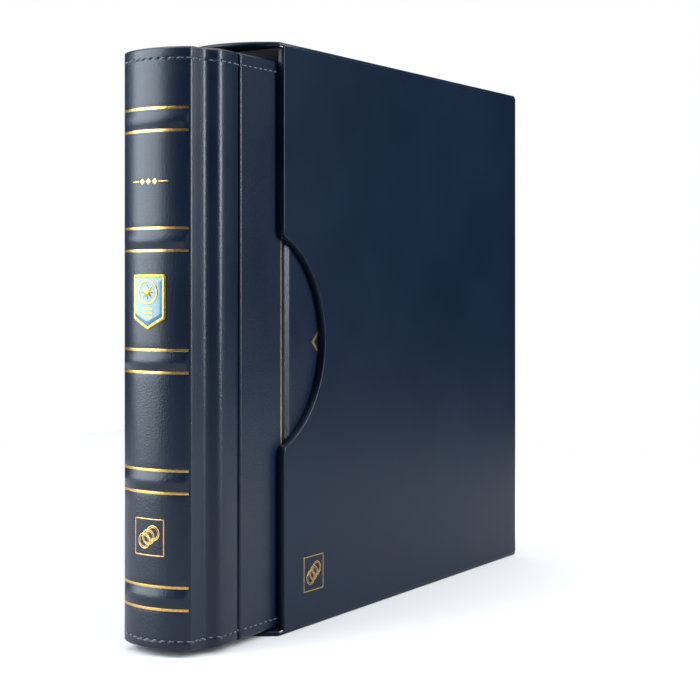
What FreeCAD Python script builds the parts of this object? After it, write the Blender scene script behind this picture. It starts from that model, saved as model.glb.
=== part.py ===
"""Ring album for coins, drawn part of the way out of its slipcase.

Frame, in millimetres: +Z up, +Y into the slipcase (the spine faces -Y), +X out of the front cover.
The origin is the bottom centre of the whole object's bounding box.
"""
import FreeCAD, Part
import math
import os
from FreeCAD import Vector

# ---- driving dimensions -------------------------------------------------------------------------
CASE_WIDTH = 68.0            # slipcase, across its two side faces
CASE_DEPTH = 292.0           # slipcase, mouth to back
CASE_HEIGHT = 330.0
SIDE_WALL = 4.3              # side wall with leatherette and lining
END_WALL = 3.0               # top and bottom wall
BACK_WALL = 3.5
SKIN = 0.8                   # leatherette thickness
LINING = 0.3
TONGUE_REACH = 15.5          # how far the top and bottom boards bow out of the mouth
TONGUE_SHOULDER = 3.0
EDGE_ROUND = 2.0

CASE_MARK_IN = 30.0          # foil mark's centre, in from the mouth
CASE_MARK_Z = 30.0
CASE_MARK_SIZE = 20.0

NOTCH_CENTRE_Z = 163.0
NOTCH_HALF_HEIGHT = 59.0
NOTCH_DEPTH = 41.5
NOTCH_CORNER = 5.0

DRAWN_OUT = 76.5             # spine apex in front of the slipcase mouth
ALBUM_DEPTH = 300.0
ALBUM_HEIGHT = 317.0
RUNNING_GAP = 0.3            # album above the slipcase floor
COVER_HALF_WIDTH = 28.7      # outer face of each cover
PADDING = 1.0
BOARD = 2.0

SPINE_HALF_WIDTH = 22.7
SPINE_SAGITTA = 7.0
SPINE_STRIPS = 12            # upright strips that each rounded face of the spine is made of
BAND_RISE = 1.0
BAND_WIDTH = 9.6
BAND_HEIGHTS = (31.0, 92.0, 155.0, 219.0, 282.0)
GOLD_LINE_OFFSET = 5.9
GOLD_LINE_WIDTH = 1.4
FOIL = 0.1

SHIELD_Z = 186.0
SHIELD_WIDTH = 21.0
SHIELD_HEIGHT = 29.0
SHIELD_RIM = 1.1
TITLE_Z = 249.5
SPINE_MARK_Z = 62.5
MARK_SIZE = 19.5

STITCH_PITCH = 4.7
STITCH_LENGTH = 3.3
STITCH_WIDTH = 0.7
STITCH_DEPTH = 0.4
STITCH_TOP_INSET = 6.5
STITCH_END_INSET = 5.0
STITCH_BOTTOM_INSET = 5.5

RING_PITCH = 80.0
RING_RADIUS = 14.5           # wire's centre line
WIRE_RADIUS = 1.5
RING_FOOT_X = 6.5            # where each half leaves its blade
RING_FOOT_RISE = 6.5
RING_GAP = 0.4               # between the closed tips
HOUSING_HALF_WIDTH = 11.2
HOUSING_HEIGHT = 6.5
HOUSING_LENGTH = 296.0
HOUSING_SHEET = 1.0
BLADE_PIVOT_X = 9.6
BLADE_PIVOT_RISE = 2.6       # pivot line above the housing's base
BLADE_SHEET = 1.0
BLADE_LENGTH = 266.0
BLADE_TILT = 9.0             # degrees below flat when the rings are shut
RIVET_SPACING = 200.0
RIVET_RADIUS = 2.0
RIVET_CAP = 0.9
LEVER_WIDTH = 12.0
LEVER_REACH = 15.0
LEVER_SHEET = 1.4
LEVER_INSET = 3.0            # lever pin in from the housing's end
PIN_RADIUS = 0.8
LEVER_SLOT = 12.0            # length of the roof's cut-out at each end
LEVER_NOSE = 7.0

PAGE_COUNT = 8
PAGE_WIDTH = 242.0
PAGE_HEIGHT = 302.0
PAGE_SPREAD = 17.0           # first to last leaf, across the rings
PAGE_SHEET = 0.3
PAGE_SEAM = 0.8
PAGE_COLUMNS = 4
PAGE_ROWS = 5
INTERLEAF_SHEET = 0.3
HOLE_MARGIN = 13.0           # binding edge to hole centre
HOLE_LENGTH = 11.0
HOLE_SHIFT = 1.5             # slot centre beyond the wire, which lifts as the rings open
HOLE_WIDTH = 5.6

# ---- derived places -----------------------------------------------------------------------------
HALF_CASE = CASE_WIDTH / 2
INNER_HALF = HALF_CASE - SIDE_WALL
TOTAL_DEPTH = DRAWN_OUT + CASE_DEPTH
MOUTH_Y = DRAWN_OUT - TOTAL_DEPTH / 2
BACK_Y = TOTAL_DEPTH / 2
BAND_APEX_Y = -TOTAL_DEPTH / 2
SPINE_APEX_Y = BAND_APEX_Y + BAND_RISE
SPINE_RADIUS = (SPINE_HALF_WIDTH ** 2 + SPINE_SAGITTA ** 2) / (2 * SPINE_SAGITTA)
SPINE_CENTRE_Y = SPINE_APEX_Y + SPINE_RADIUS
CREASE_Y = SPINE_APEX_Y + SPINE_SAGITTA
FORE_EDGE_Y = BAND_APEX_Y + ALBUM_DEPTH
ALBUM_LOW = END_WALL + RUNNING_GAP
ALBUM_TOP = ALBUM_LOW + ALBUM_HEIGHT
ALBUM_MID = (ALBUM_LOW + ALBUM_TOP) / 2
COVER_THICKNESS = SKIN + PADDING + BOARD
SPINE_BOARD_Y = CREASE_Y + 2.6
SPINE_INNER_Y = SPINE_BOARD_Y + BOARD
HOUSING_BASE_Y = SPINE_INNER_Y
BLADE_Y = HOUSING_BASE_Y + BLADE_PIVOT_RISE
RING_FOOT_DROP = math.sqrt(RING_RADIUS ** 2 - RING_FOOT_X ** 2)
RING_CENTRE_Y = BLADE_Y + RING_FOOT_RISE + RING_FOOT_DROP
RING_HEIGHTS = [ALBUM_MID + RING_PITCH * step for step in (-1.5, -0.5, 0.5, 1.5)]
RIVET_HEIGHTS = [ALBUM_MID - RIVET_SPACING / 2, ALBUM_MID + RIVET_SPACING / 2]
LEVER_HEIGHTS = [ALBUM_MID + end * (HOUSING_LENGTH / 2 - LEVER_INSET) for end in (-1, 1)]
NOTCH_RADIUS = (NOTCH_HALF_HEIGHT ** 2 + NOTCH_DEPTH ** 2) / (2 * NOTCH_DEPTH)

# Outer face of one joint and cover, from the spine's crease to the fore edge: (x, y) corners.
SIDE_PROFILE = [
    (SPINE_HALF_WIDTH, CREASE_Y),
    (SPINE_HALF_WIDTH + 0.6, CREASE_Y + 7.0),
    (SPINE_HALF_WIDTH + 1.0, CREASE_Y + 11.5),
    (COVER_HALF_WIDTH, CREASE_Y + 17.0),
    (COVER_HALF_WIDTH + 0.5, CREASE_Y + 19.0),
    (COVER_HALF_WIDTH + 0.5, CREASE_Y + 24.0),
    (COVER_HALF_WIDTH + 0.2, CREASE_Y + 31.0),
    (COVER_HALF_WIDTH - 0.6, CREASE_Y + 35.0),
    (COVER_HALF_WIDTH, CREASE_Y + 38.0),
    (COVER_HALF_WIDTH, FORE_EDGE_Y),
]
JOINT_BOARD_SPAN = (CREASE_Y + 5.5, CREASE_Y + 30.0)
COVER_BOARD_START = CREASE_Y + 38.5


# ---- helpers ------------------------------------------------------------------------------------
def box(x0, x1, y0, y1, z0, z1):
    """Box between two corners."""
    return Part.makeBox(x1 - x0, y1 - y0, z1 - z0, Vector(x0, y0, z0))


def prism(points, z0, z1):
    """Upright prism on a polygon of (x, y) points."""
    corners = [Vector(x, y, z0) for x, y in points]
    wire = Part.makePolygon(corners + corners[:1])
    return Part.Face(wire).extrude(Vector(0, 0, z1 - z0))


def edges_prism(edges, direction):
    """Closed run of edges, extruded along a vector."""
    return Part.Face(Part.Wire(edges)).extrude(direction)


def mirrored(shape):
    """The same piece on the -X side."""
    return shape.mirror(Vector(0, 0, 0), Vector(1, 0, 0))


def offset_inwards(points, distance):
    """Open line of points moved to its -X side by a distance, with mitred corners."""
    moved = []
    for index, (x, y) in enumerate(points):
        normals = []
        if index > 0:
            normals.append(segment_normal(points[index - 1], points[index]))
        if index < len(points) - 1:
            normals.append(segment_normal(points[index], points[index + 1]))
        nx = sum(normal[0] for normal in normals) / len(normals)
        ny = sum(normal[1] for normal in normals) / len(normals)
        stretch = distance / (nx ** 2 + ny ** 2)
        moved.append((x - nx * stretch, y - ny * stretch))
    return moved


def segment_normal(start, end):
    """Unit normal of a segment, on its +X side."""
    dx = end[0] - start[0]
    dy = end[1] - start[1]
    length = math.hypot(dx, dy)
    return dy / length, -dx / length


def clip_line(points, low, high):
    """The part of a line of (x, y) points that lies between two values of y."""
    kept = []
    for start, end in zip(points, points[1:]):
        for limit in (low, high):
            if start[1] < limit < end[1]:
                share = (limit - start[1]) / (end[1] - start[1])
                kept.append((start[0] + share * (end[0] - start[0]), limit))
        if low <= end[1] <= high:
            kept.append(end)
        if low <= start[1] <= high:
            kept.append(start)
    return sorted(set(kept), key=lambda point: point[1])


def layer(low_depth, high_depth, y0, y1, z0, z1):
    """Sheet that follows the +X side of the album, between two depths under its outer face."""
    outer = clip_line(offset_inwards(SIDE_PROFILE, low_depth), y0, y1)
    inner = clip_line(offset_inwards(SIDE_PROFILE, high_depth), y0, y1)
    return prism(outer + inner[::-1], z0, z1)


def spine_arcs(radius, half_width):
    """Arcs concentric with the spine, from +half_width round the apex to -half_width."""
    half_angle = math.asin(half_width / radius)

    def at(step):
        angle = half_angle - 2 * half_angle * step / SPINE_STRIPS
        return Vector(radius * math.sin(angle), SPINE_CENTRE_Y - radius * math.cos(angle), 0)

    return [Part.Arc(at(step), at(step + 0.5), at(step + 1)).toShape() for step in range(SPINE_STRIPS)]


def spine_slice(inner_radius, outer_radius, half_width, z0, z1):
    """Curved strip concentric with the spine, of a given half width."""
    outer = spine_arcs(outer_radius, half_width)
    inner = spine_arcs(inner_radius, half_width)
    right = Part.makeLine(inner[0].Vertexes[0].Point, outer[0].Vertexes[0].Point)
    left = Part.makeLine(outer[-1].Vertexes[-1].Point, inner[-1].Vertexes[-1].Point)
    strip = edges_prism(outer + [left] + inner[::-1] + [right], Vector(0, 0, z1 - z0))
    strip.translate(Vector(0, 0, z0))
    return strip


def polygon_y(points, y0, y1):
    """Prism along Y on a polygon of (x, z) points."""
    corners = [Vector(x, y0, z) for x, z in points]
    return Part.Face(Part.makePolygon(corners + corners[:1])).extrude(Vector(0, y1 - y0, 0))


def square_frame(centre_a, centre_b, size, line):
    """Square outline as (a, b) points: outer and inner corners."""
    outer = square_points(centre_a, centre_b, size)
    inner = square_points(centre_a, centre_b, size - 2 * line)
    return outer, inner


def square_points(centre_a, centre_b, size):
    """Corners of a square."""
    half = size / 2
    signs = ((-1, -1), (1, -1), (1, 1), (-1, 1))
    return [(centre_a + half * sa, centre_b + half * sb) for sa, sb in signs]


def diamond_points(centre_a, centre_b, half_a, half_b):
    """Corners of a lozenge."""
    steps = ((half_a, 0), (0, half_b), (-half_a, 0), (0, -half_b))
    return [(centre_a + da, centre_b + db) for da, db in steps]


def solids(pieces):
    """One group of separate solids."""
    return Part.makeCompound([solid for piece in pieces for solid in piece.Solids])


# ---- slipcase -----------------------------------------------------------------------------------
def notch_tool(inset, x0, x1):
    """Half-moon cut in a side wall, with rounded shoulders, grown by an inset into the wall."""
    radius = NOTCH_RADIUS + inset
    corner = NOTCH_CORNER - inset
    centre_y = MOUTH_Y + NOTCH_DEPTH - NOTCH_RADIUS
    shoulder_y = MOUTH_Y + NOTCH_CORNER
    rise = math.sqrt((NOTCH_RADIUS + NOTCH_CORNER) ** 2 - (shoulder_y - centre_y) ** 2)
    mouth_y = MOUTH_Y + inset
    front_y = MOUTH_Y - 30.0
    reach = NOTCH_RADIUS + NOTCH_CORNER
    touch_y = centre_y + (shoulder_y - centre_y) * radius / reach
    touch_rise = rise * radius / reach
    turn = math.atan2(touch_rise - rise, touch_y - shoulder_y)
    middle_angle = (turn - math.pi) / 2
    middle_y = shoulder_y + corner * math.cos(middle_angle)
    middle_rise = rise + corner * math.sin(middle_angle)

    def at(y, offset_z):
        return Vector(x0, y, NOTCH_CENTRE_Z + offset_z)

    upper_round = Part.Arc(at(mouth_y, rise), at(middle_y, middle_rise), at(touch_y, touch_rise)).toShape()
    moon = Part.Arc(at(touch_y, touch_rise), at(centre_y + radius, 0), at(touch_y, -touch_rise)).toShape()
    lower_round = Part.Arc(at(touch_y, -touch_rise), at(middle_y, -middle_rise), at(mouth_y, -rise)).toShape()
    edges = [
        Part.makeLine(at(front_y, rise), at(mouth_y, rise)),
        upper_round,
        moon,
        lower_round,
        Part.makeLine(at(mouth_y, -rise), at(front_y, -rise)),
        Part.makeLine(at(front_y, -rise), at(front_y, rise)),
    ]
    return edges_prism(edges, Vector(x1 - x0, 0, 0))


def end_plate(inset, z0, z1, back_y):
    """Top or bottom plate whose front edge bows out of the mouth."""
    half = HALF_CASE - inset
    shoulder_y = MOUTH_Y - TONGUE_SHOULDER + inset
    apex_y = MOUTH_Y - TONGUE_REACH + inset
    bow = Part.Arc(Vector(half, shoulder_y, z0), Vector(0, apex_y, z0), Vector(-half, shoulder_y, z0))
    edges = [
        bow.toShape(),
        Part.makeLine(Vector(-half, shoulder_y, z0), Vector(-half, back_y, z0)),
        Part.makeLine(Vector(-half, back_y, z0), Vector(half, back_y, z0)),
        Part.makeLine(Vector(half, back_y, z0), Vector(half, shoulder_y, z0)),
    ]
    return edges_prism(edges, Vector(0, 0, z1 - z0))


def rounded_body():
    """Outer solid of the slipcase with its tongues and rounded long edges."""
    body = box(-HALF_CASE, HALF_CASE, MOUTH_Y, BACK_Y, 0, CASE_HEIGHT)
    outside = [edge for edge in body.Edges if edge.BoundBox.YMax > BACK_Y - 0.1]
    body = body.makeFillet(EDGE_ROUND, outside)
    bottom = end_plate(0, 0, END_WALL, MOUTH_Y + 1.0)
    top = end_plate(0, CASE_HEIGHT - END_WALL, CASE_HEIGHT, MOUTH_Y + 1.0)
    mouth_frame = box(-HALF_CASE, HALF_CASE, MOUTH_Y - 40, MOUTH_Y + 1.0, 0, CASE_HEIGHT)
    long_edges = [edge for edge in mouth_frame.Edges if edge.Length > 40.5 and edge.Length < 41.5]
    rounded_front = mouth_frame.makeFillet(EDGE_ROUND, long_edges)
    tongues = bottom.fuse(top).common(rounded_front)
    return body.fuse(tongues).removeSplitter()


def slipcase_parts():
    """The slipcase's boards, leatherette, lining and mark, by node name."""
    side_board_in = INNER_HALF + LINING
    side_board_out = HALF_CASE - SKIN
    board_back = BACK_Y - SKIN
    low = END_WALL
    high = CASE_HEIGHT - END_WALL
    front_board = box(side_board_in, side_board_out, MOUTH_Y + SKIN, board_back, low, high)
    front_board = front_board.cut(notch_tool(SKIN, INNER_HALF - 1, HALF_CASE + 1))
    rear_board = mirrored(front_board)
    bottom_board = end_plate(SKIN, SKIN, END_WALL - LINING, board_back)
    top_board = end_plate(SKIN, CASE_HEIGHT - END_WALL + LINING, CASE_HEIGHT - SKIN, board_back)
    inner_half = INNER_HALF + LINING
    back_board = box(-inner_half, inner_half, BACK_Y - BACK_WALL + LINING, board_back, low, high)

    hollow = box(-INNER_HALF, INNER_HALF, MOUTH_Y - 40, BACK_Y - BACK_WALL, END_WALL, CASE_HEIGHT - END_WALL)
    lined = box(-inner_half, inner_half, MOUTH_Y - 40, BACK_Y - BACK_WALL + LINING,
                END_WALL - LINING, CASE_HEIGHT - END_WALL + LINING)
    body = rounded_body().cut(notch_tool(0, -HALF_CASE - 1, HALF_CASE + 1).cut(
        box(-HALF_CASE - 2, HALF_CASE + 2, MOUTH_Y - 40, BACK_Y, -1, END_WALL)))
    lining_zone = box(-inner_half, inner_half, MOUTH_Y + SKIN, BACK_Y, 0, CASE_HEIGHT)
    lining = lined.common(lining_zone).cut(hollow).cut(notch_tool(SKIN, -HALF_CASE - 1, HALF_CASE + 1))
    shell = body.cut(hollow).cut(lining)
    for board in (front_board, rear_board, bottom_board, top_board, back_board):
        shell = shell.cut(board)
    side_zone = box(inner_half, HALF_CASE + 1, MOUTH_Y - 40, BACK_Y + 1, END_WALL, CASE_HEIGHT - END_WALL)
    front_leather = shell.common(side_zone)
    rear_leather = shell.common(mirrored(side_zone))
    strip = shell.cut(side_zone).cut(mirrored(side_zone))
    mark_y = MOUTH_Y + CASE_MARK_IN
    mark = square_mark_x(HALF_CASE - FOIL, HALF_CASE, mark_y, CASE_MARK_Z, CASE_MARK_SIZE)
    pocket = square_mark_x(HALF_CASE - FOIL, HALF_CASE + 1.0, mark_y, CASE_MARK_Z, CASE_MARK_SIZE)
    front_leather = front_leather.cut(pocket)
    return {
        "slipcase_front_board": front_board,
        "slipcase_rear_board": rear_board,
        "slipcase_bottom_board": bottom_board,
        "slipcase_top_board": top_board,
        "slipcase_back_board": back_board,
        "slipcase_front_leather": front_leather,
        "slipcase_rear_leather": rear_leather,
        "slipcase_edge_leather": strip,
        "slipcase_lining": lining,
        "slipcase_mark": mark,
    }


def square_mark_x(x0, x1, centre_y, centre_z, size):
    """Foil mark on a side face: a square frame round three stacked discs."""
    outer, inner = square_frame(centre_y, centre_z, size, 0.5)
    frame = face_prism_x(outer, x0, x1).cut(face_prism_x(inner, x0 - 1, x1 + 1))
    rings = []
    for step in (-1, 0, 1):
        centre = Vector(x0, centre_y + 3.0 * step, centre_z + 2.2 * step)
        disc = Part.makeCylinder(4.2, x1 - x0, centre, Vector(1, 0, 0))
        rings.append(disc.cut(Part.makeCylinder(3.6, x1 - x0, centre, Vector(1, 0, 0))))
    coins = rings[0].fuse(rings[1:])
    return solids([frame, coins])


def face_prism_x(points, x0, x1):
    """Prism along X on a polygon of (y, z) points."""
    corners = [Vector(x0, y, z) for y, z in points]
    return Part.Face(Part.makePolygon(corners + corners[:1])).extrude(Vector(x1 - x0, 0, 0))


# ---- album case ---------------------------------------------------------------------------------
def album_outline(z0, z1):
    """Solid inside the album's outer face, from fore edge to fore edge round the spine."""
    right = [Vector(x, y, 0) for x, y in SIDE_PROFILE]
    left = [Vector(-x, y, 0) for x, y in SIDE_PROFILE]
    edges = spine_arcs(SPINE_RADIUS, SPINE_HALF_WIDTH)
    edges += [Part.makeLine(a, b) for a, b in zip(left, left[1:])]
    edges.append(Part.makeLine(left[-1], right[-1]))
    edges += [Part.makeLine(b, a) for a, b in zip(right, right[1:])][::-1]
    outline = edges_prism(edges, Vector(0, 0, z1 - z0))
    outline.translate(Vector(0, 0, z0))
    return outline


def album_inside(z0, z1):
    """Space between the covers, behind the spine's flat board."""
    right = clip_line(offset_inwards(SIDE_PROFILE, COVER_THICKNESS), SPINE_INNER_Y, FORE_EDGE_Y)
    left = [(-x, y) for x, y in right]
    return prism(right + left[::-1], z0, z1)


def spine_boards(z0, z1):
    """Flat spine board and the rounded former in front of it."""
    half = SPINE_HALF_WIDTH - 1.2
    board = box(-half, half, SPINE_BOARD_Y, SPINE_INNER_Y, z0, z1)
    radius = SPINE_RADIUS - SKIN
    former_half = math.sqrt(radius ** 2 - (SPINE_CENTRE_Y - SPINE_BOARD_Y) ** 2)
    former_half = min(former_half, half)
    arcs = spine_arcs(radius, former_half)
    right = arcs[0].Vertexes[0].Point
    left = arcs[-1].Vertexes[-1].Point
    back_right = Vector(former_half, SPINE_BOARD_Y, 0)
    back_left = Vector(-former_half, SPINE_BOARD_Y, 0)
    edges = arcs + [
        Part.makeLine(left, back_left),
        Part.makeLine(back_left, back_right),
        Part.makeLine(back_right, right),
    ]
    former = edges_prism(edges, Vector(0, 0, z1 - z0))
    former.translate(Vector(0, 0, z0))
    return board, former


def band_half_width():
    """Half width of a raised band, a little short of the creases."""
    return SPINE_HALF_WIDTH - 1.6


def raised_bands():
    """Five cords across the spine, under the leatherette."""
    radius = SPINE_RADIUS - SKIN
    half_core = BAND_WIDTH / 2 - SKIN
    return [spine_slice(radius, radius + BAND_RISE, band_half_width() - SKIN, z - half_core, z + half_core)
            for z in BAND_HEIGHTS]


def band_skins():
    """Leatherette swollen over each raised band."""
    outer = SPINE_RADIUS + BAND_RISE
    half = BAND_WIDTH / 2
    return [spine_slice(SPINE_RADIUS - SKIN / 2, outer, band_half_width(), z - half, z + half)
            for z in BAND_HEIGHTS]


def gold_lines():
    """Two foil lines across the spine beside each band."""
    lines = []
    for z in BAND_HEIGHTS:
        for side in (-1, 1):
            middle = z + side * GOLD_LINE_OFFSET
            low = middle - GOLD_LINE_WIDTH / 2
            lines.append(spine_slice(SPINE_RADIUS, SPINE_RADIUS + FOIL, band_half_width(), low,
                                     low + GOLD_LINE_WIDTH))
    return lines


def on_spine(shape, inner_offset, outer_offset):
    """The part of a shape that lies in a layer of the spine's face."""
    shell = spine_slice(SPINE_RADIUS + inner_offset, SPINE_RADIUS + outer_offset, SPINE_HALF_WIDTH - 1,
                        ALBUM_LOW, ALBUM_TOP)
    return shape.common(shell)


def shield_points(width, height):
    """Shield outline about its centre: straight top and sides, pointed foot, as (x, z) points."""
    half = width / 2
    top = height / 2
    turn = -height * 0.3
    return [(-half, top), (half, top), (half, turn), (0, -top), (-half, turn)]


def shield_parts():
    """Metal shield with an enamel field on the spine."""
    front = BAND_APEX_Y - 5
    back = CREASE_Y
    rim = SHIELD_RIM
    outline = [(x, z + SHIELD_Z) for x, z in shield_points(SHIELD_WIDTH, SHIELD_HEIGHT)]
    field = [(x, z + SHIELD_Z) for x, z in shield_points(SHIELD_WIDTH - 2 * rim, SHIELD_HEIGHT - 2.2 * rim)]
    plate = on_spine(polygon_y(outline, front, back), -0.4, 0.8)
    enamel = on_spine(polygon_y(field, front, back), 0.4, 0.7)
    star = polygon_y([(x, z + SHIELD_Z + 1.5) for x, z in star_points(6.4, 2.9, 8)], front, back)
    enamel = enamel.cut(star)
    return plate.cut(on_spine(polygon_y(field, front, back).cut(star), 0.4, 0.8)), enamel


def star_points(outer, inner, points):
    """Star outline about the origin."""
    corners = []
    for step in range(2 * points):
        radius = outer if step % 2 == 0 else inner
        angle = math.pi / 2 + math.pi * step / points
        corners.append((radius * math.cos(angle), radius * math.sin(angle)))
    return corners


def title_ornament():
    """Row of three small foil lozenges with a line each side, near the top of the spine."""
    front = BAND_APEX_Y - 5
    pieces = [polygon_y(diamond_points(x, TITLE_Z, 1.6, 1.6), front, CREASE_Y) for x in (-4.2, 0, 4.2)]
    for side in (-1, 1):
        pieces.append(polygon_y([(side * 6.6, TITLE_Z - 0.3), (side * 12.0, TITLE_Z - 0.3),
                                 (side * 12.0, TITLE_Z + 0.3), (side * 6.6, TITLE_Z + 0.3)], front, CREASE_Y))
    return [on_spine(piece, 0, FOIL) for piece in pieces]


def spine_mark():
    """Square foil mark low on the spine: a frame round three overlapping rings."""
    front = BAND_APEX_Y - 5
    outer, inner = square_frame(0, SPINE_MARK_Z, MARK_SIZE, 0.5)
    frame = polygon_y(outer, front, CREASE_Y).cut(polygon_y(inner, front - 1, CREASE_Y + 1))
    rings = []
    for step in (-1, 0, 1):
        centre = Vector(2.9 * step, front, SPINE_MARK_Z + 2.1 * step)
        ring = Part.makeCylinder(4.1, 30, centre, Vector(0, 1, 0))
        rings.append(ring.cut(Part.makeCylinder(3.5, 30, centre, Vector(0, 1, 0))))
    coins = rings[0].fuse(rings[1:])
    return [on_spine(frame, 0, FOIL), on_spine(coins, 0, FOIL)]


def cover_foils():
    """Gold frame line and lozenge ornament on the front cover."""
    x0 = COVER_HALF_WIDTH
    x1 = COVER_HALF_WIDTH + FOIL
    near = MOUTH_Y + 4.5
    far = FORE_EDGE_Y - 12.0
    low = ALBUM_LOW + 12.0
    high = ALBUM_TOP - 12.0
    line = 1.0
    outer = [(near, low), (far, low), (far, high), (near, high)]
    inner = [(near + line, low + line), (far - line, low + line), (far - line, high - line),
             (near + line, high - line)]
    frame = face_prism_x(outer, x0, x1).cut(face_prism_x(inner, x0 - 1, x1 + 1))
    middle = (near + far) / 2
    half = middle - (MOUTH_Y + 35.0)
    pieces = []
    for scale in (1.0, 0.88):
        big = face_prism_x(diamond_points(middle, ALBUM_MID, half * scale, half * scale), x0, x1)
        trim = half * scale - 2.4 * scale
        small = face_prism_x(diamond_points(middle, ALBUM_MID, trim, trim), x0 - 1, x1 + 1)
        pieces.append(big.cut(small))
    star = [(middle + a, ALBUM_MID + b) for a, b in star_points(34, 14, 8)]
    hub = Part.makeCylinder(9.0, x1 - x0 + 2, Vector(x0 - 1, middle, ALBUM_MID), Vector(1, 0, 0))
    pieces.append(face_prism_x(star, x0, x1).cut(hub))
    return frame, solids(pieces)


def stitch_path():
    """Points along the album's outer face at the stitch pitch, with the face's direction there."""
    stations = []
    half_angle = math.asin(SPINE_HALF_WIDTH / SPINE_RADIUS)
    count = int(2 * half_angle * SPINE_RADIUS / STITCH_PITCH)
    for step in range(count):
        angle = -half_angle + 2 * half_angle * (step + 0.5) / count
        x = SPINE_RADIUS * math.sin(angle)
        y = SPINE_CENTRE_Y - SPINE_RADIUS * math.cos(angle)
        stations.append((x, y, math.degrees(angle)))
    for start, end in zip(SIDE_PROFILE, SIDE_PROFILE[1:]):
        length = math.hypot(end[0] - start[0], end[1] - start[1])
        count = max(1, int(length / STITCH_PITCH))
        if length < STITCH_LENGTH + 0.8:
            continue
        angle = math.degrees(math.atan2(end[1] - start[1], end[0] - start[0]))
        for step in range(count):
            share = (step + 0.5) / count
            x = start[0] + share * (end[0] - start[0])
            y = start[1] + share * (end[1] - start[1])
            if y > FORE_EDGE_Y - STITCH_END_INSET:
                continue
            stations.append((x, y, angle))
            stations.append((-x, y, 180 - angle))
    return stations


def stitch_rows():
    """Thread laid in the channel along the album's top and bottom edges."""
    stitches = []
    for z in (ALBUM_TOP - STITCH_TOP_INSET, ALBUM_LOW + STITCH_BOTTOM_INSET):
        for x, y, angle in stitch_path():
            inward = Vector(-math.sin(math.radians(angle)), math.cos(math.radians(angle)), 0)
            centre = Vector(x, y, z) + inward * (STITCH_DEPTH / 2)
            thread = Part.makeBox(STITCH_LENGTH, STITCH_DEPTH - 0.1, STITCH_WIDTH,
                                  Vector(-STITCH_LENGTH / 2, -STITCH_DEPTH / 2 + 0.05, -STITCH_WIDTH / 2))
            thread.rotate(Vector(0, 0, 0), Vector(0, 0, 1), angle)
            thread.translate(centre)
            stitches.append(thread)
    return stitches


def stitch_channels():
    """Shallow channel round the album under each stitch row."""
    channels = []
    half = STITCH_WIDTH / 2 + 0.15
    for z in (ALBUM_TOP - STITCH_TOP_INSET, ALBUM_LOW + STITCH_BOTTOM_INSET):
        side = layer(-1.0, STITCH_DEPTH + 0.1, CREASE_Y, FORE_EDGE_Y - 2.0, z - half, z + half)
        channels.append(side)
        channels.append(mirrored(side))
        channels.append(spine_slice(SPINE_RADIUS - STITCH_DEPTH - 0.1, SPINE_RADIUS + 2,
                                    SPINE_HALF_WIDTH - 0.05, z - half, z + half))
    return channels


def album_case_parts():
    """The album's boards, pads, leatherette and trim, by node name."""
    low = ALBUM_LOW + SKIN
    high = ALBUM_TOP - SKIN
    fore = FORE_EDGE_Y - SKIN
    joint_low, joint_high = JOINT_BOARD_SPAN
    spine_board, former = spine_boards(low, high)
    joint_board = layer(SKIN + PADDING, COVER_THICKNESS, joint_low, joint_high, low, high)
    cover_board = layer(SKIN + PADDING, COVER_THICKNESS, COVER_BOARD_START, fore, low, high)
    joint_pad = layer(SKIN, SKIN + PADDING, joint_low, joint_high, low, high)
    cover_pad = layer(SKIN, SKIN + PADDING, COVER_BOARD_START, fore, low, high)
    joint_board = joint_board.cut(spine_board)
    joint_pad = joint_pad.cut(former).cut(spine_board)
    bands = raised_bands()

    leather = album_outline(ALBUM_LOW, ALBUM_TOP)
    for skin in band_skins():
        leather = leather.fuse(skin)
    leather = leather.cut(album_inside(ALBUM_LOW - 1, ALBUM_TOP + 1))
    inner_pieces = [spine_board, former] + bands
    for piece in (joint_board, cover_board, joint_pad, cover_pad):
        inner_pieces += [piece, mirrored(piece)]
    for piece in inner_pieces:
        leather = leather.cut(piece)
    for channel in stitch_channels():
        leather = leather.cut(channel)

    plate, enamel = shield_parts()
    leather = leather.cut(plate)
    frame, ornament = cover_foils()
    paper = layer(COVER_THICKNESS, COVER_THICKNESS + LINING, COVER_BOARD_START - 4.0, FORE_EDGE_Y - 6.0,
                  ALBUM_LOW + 6.0, ALBUM_TOP - 6.0)
    rivet_holes = [rivet_cylinder(z, RIVET_RADIUS) for z in RIVET_HEIGHTS]
    for hole in rivet_holes:
        spine_board = spine_board.cut(hole)
        former = former.cut(rivet_head(hole.BoundBox.Center.z, -0.1))
    return {
        "spine_board": spine_board,
        "spine_former": former,
        "raised_bands": solids(bands),
        "front_joint_board": joint_board,
        "rear_joint_board": mirrored(joint_board),
        "front_joint_pad": joint_pad,
        "rear_joint_pad": mirrored(joint_pad),
        "front_cover_board": cover_board,
        "rear_cover_board": mirrored(cover_board),
        "front_cover_pad": cover_pad,
        "rear_cover_pad": mirrored(cover_pad),
        "album_leather": leather,
        "front_endpaper": paper,
        "rear_endpaper": mirrored(paper),
        "spine_gold_lines": solids(gold_lines()),
        "spine_ornament": solids(title_ornament()),
        "spine_mark": solids(spine_mark()),
        "shield_plate": plate,
        "shield_enamel": enamel,
        "cover_gold_frame": frame,
        "cover_ornament": ornament,
        "edge_stitching": solids(stitch_rows()),
    }


# ---- ring mechanism -----------------------------------------------------------------------------
def rivet_cylinder(z, radius):
    """Rivet shank from the back of the spine board to the top of the housing."""
    length = HOUSING_HEIGHT + BOARD
    return Part.makeCylinder(radius, length, Vector(0, SPINE_BOARD_Y, z), Vector(0, 1, 0))


def rivet_head(z, grow):
    """Flat head of a rivet, on the spine board's outer face."""
    return Part.makeCylinder(2 * RIVET_RADIUS - grow, 1.0, Vector(0, SPINE_BOARD_Y - 1.0, z), Vector(0, 1, 0))


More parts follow.
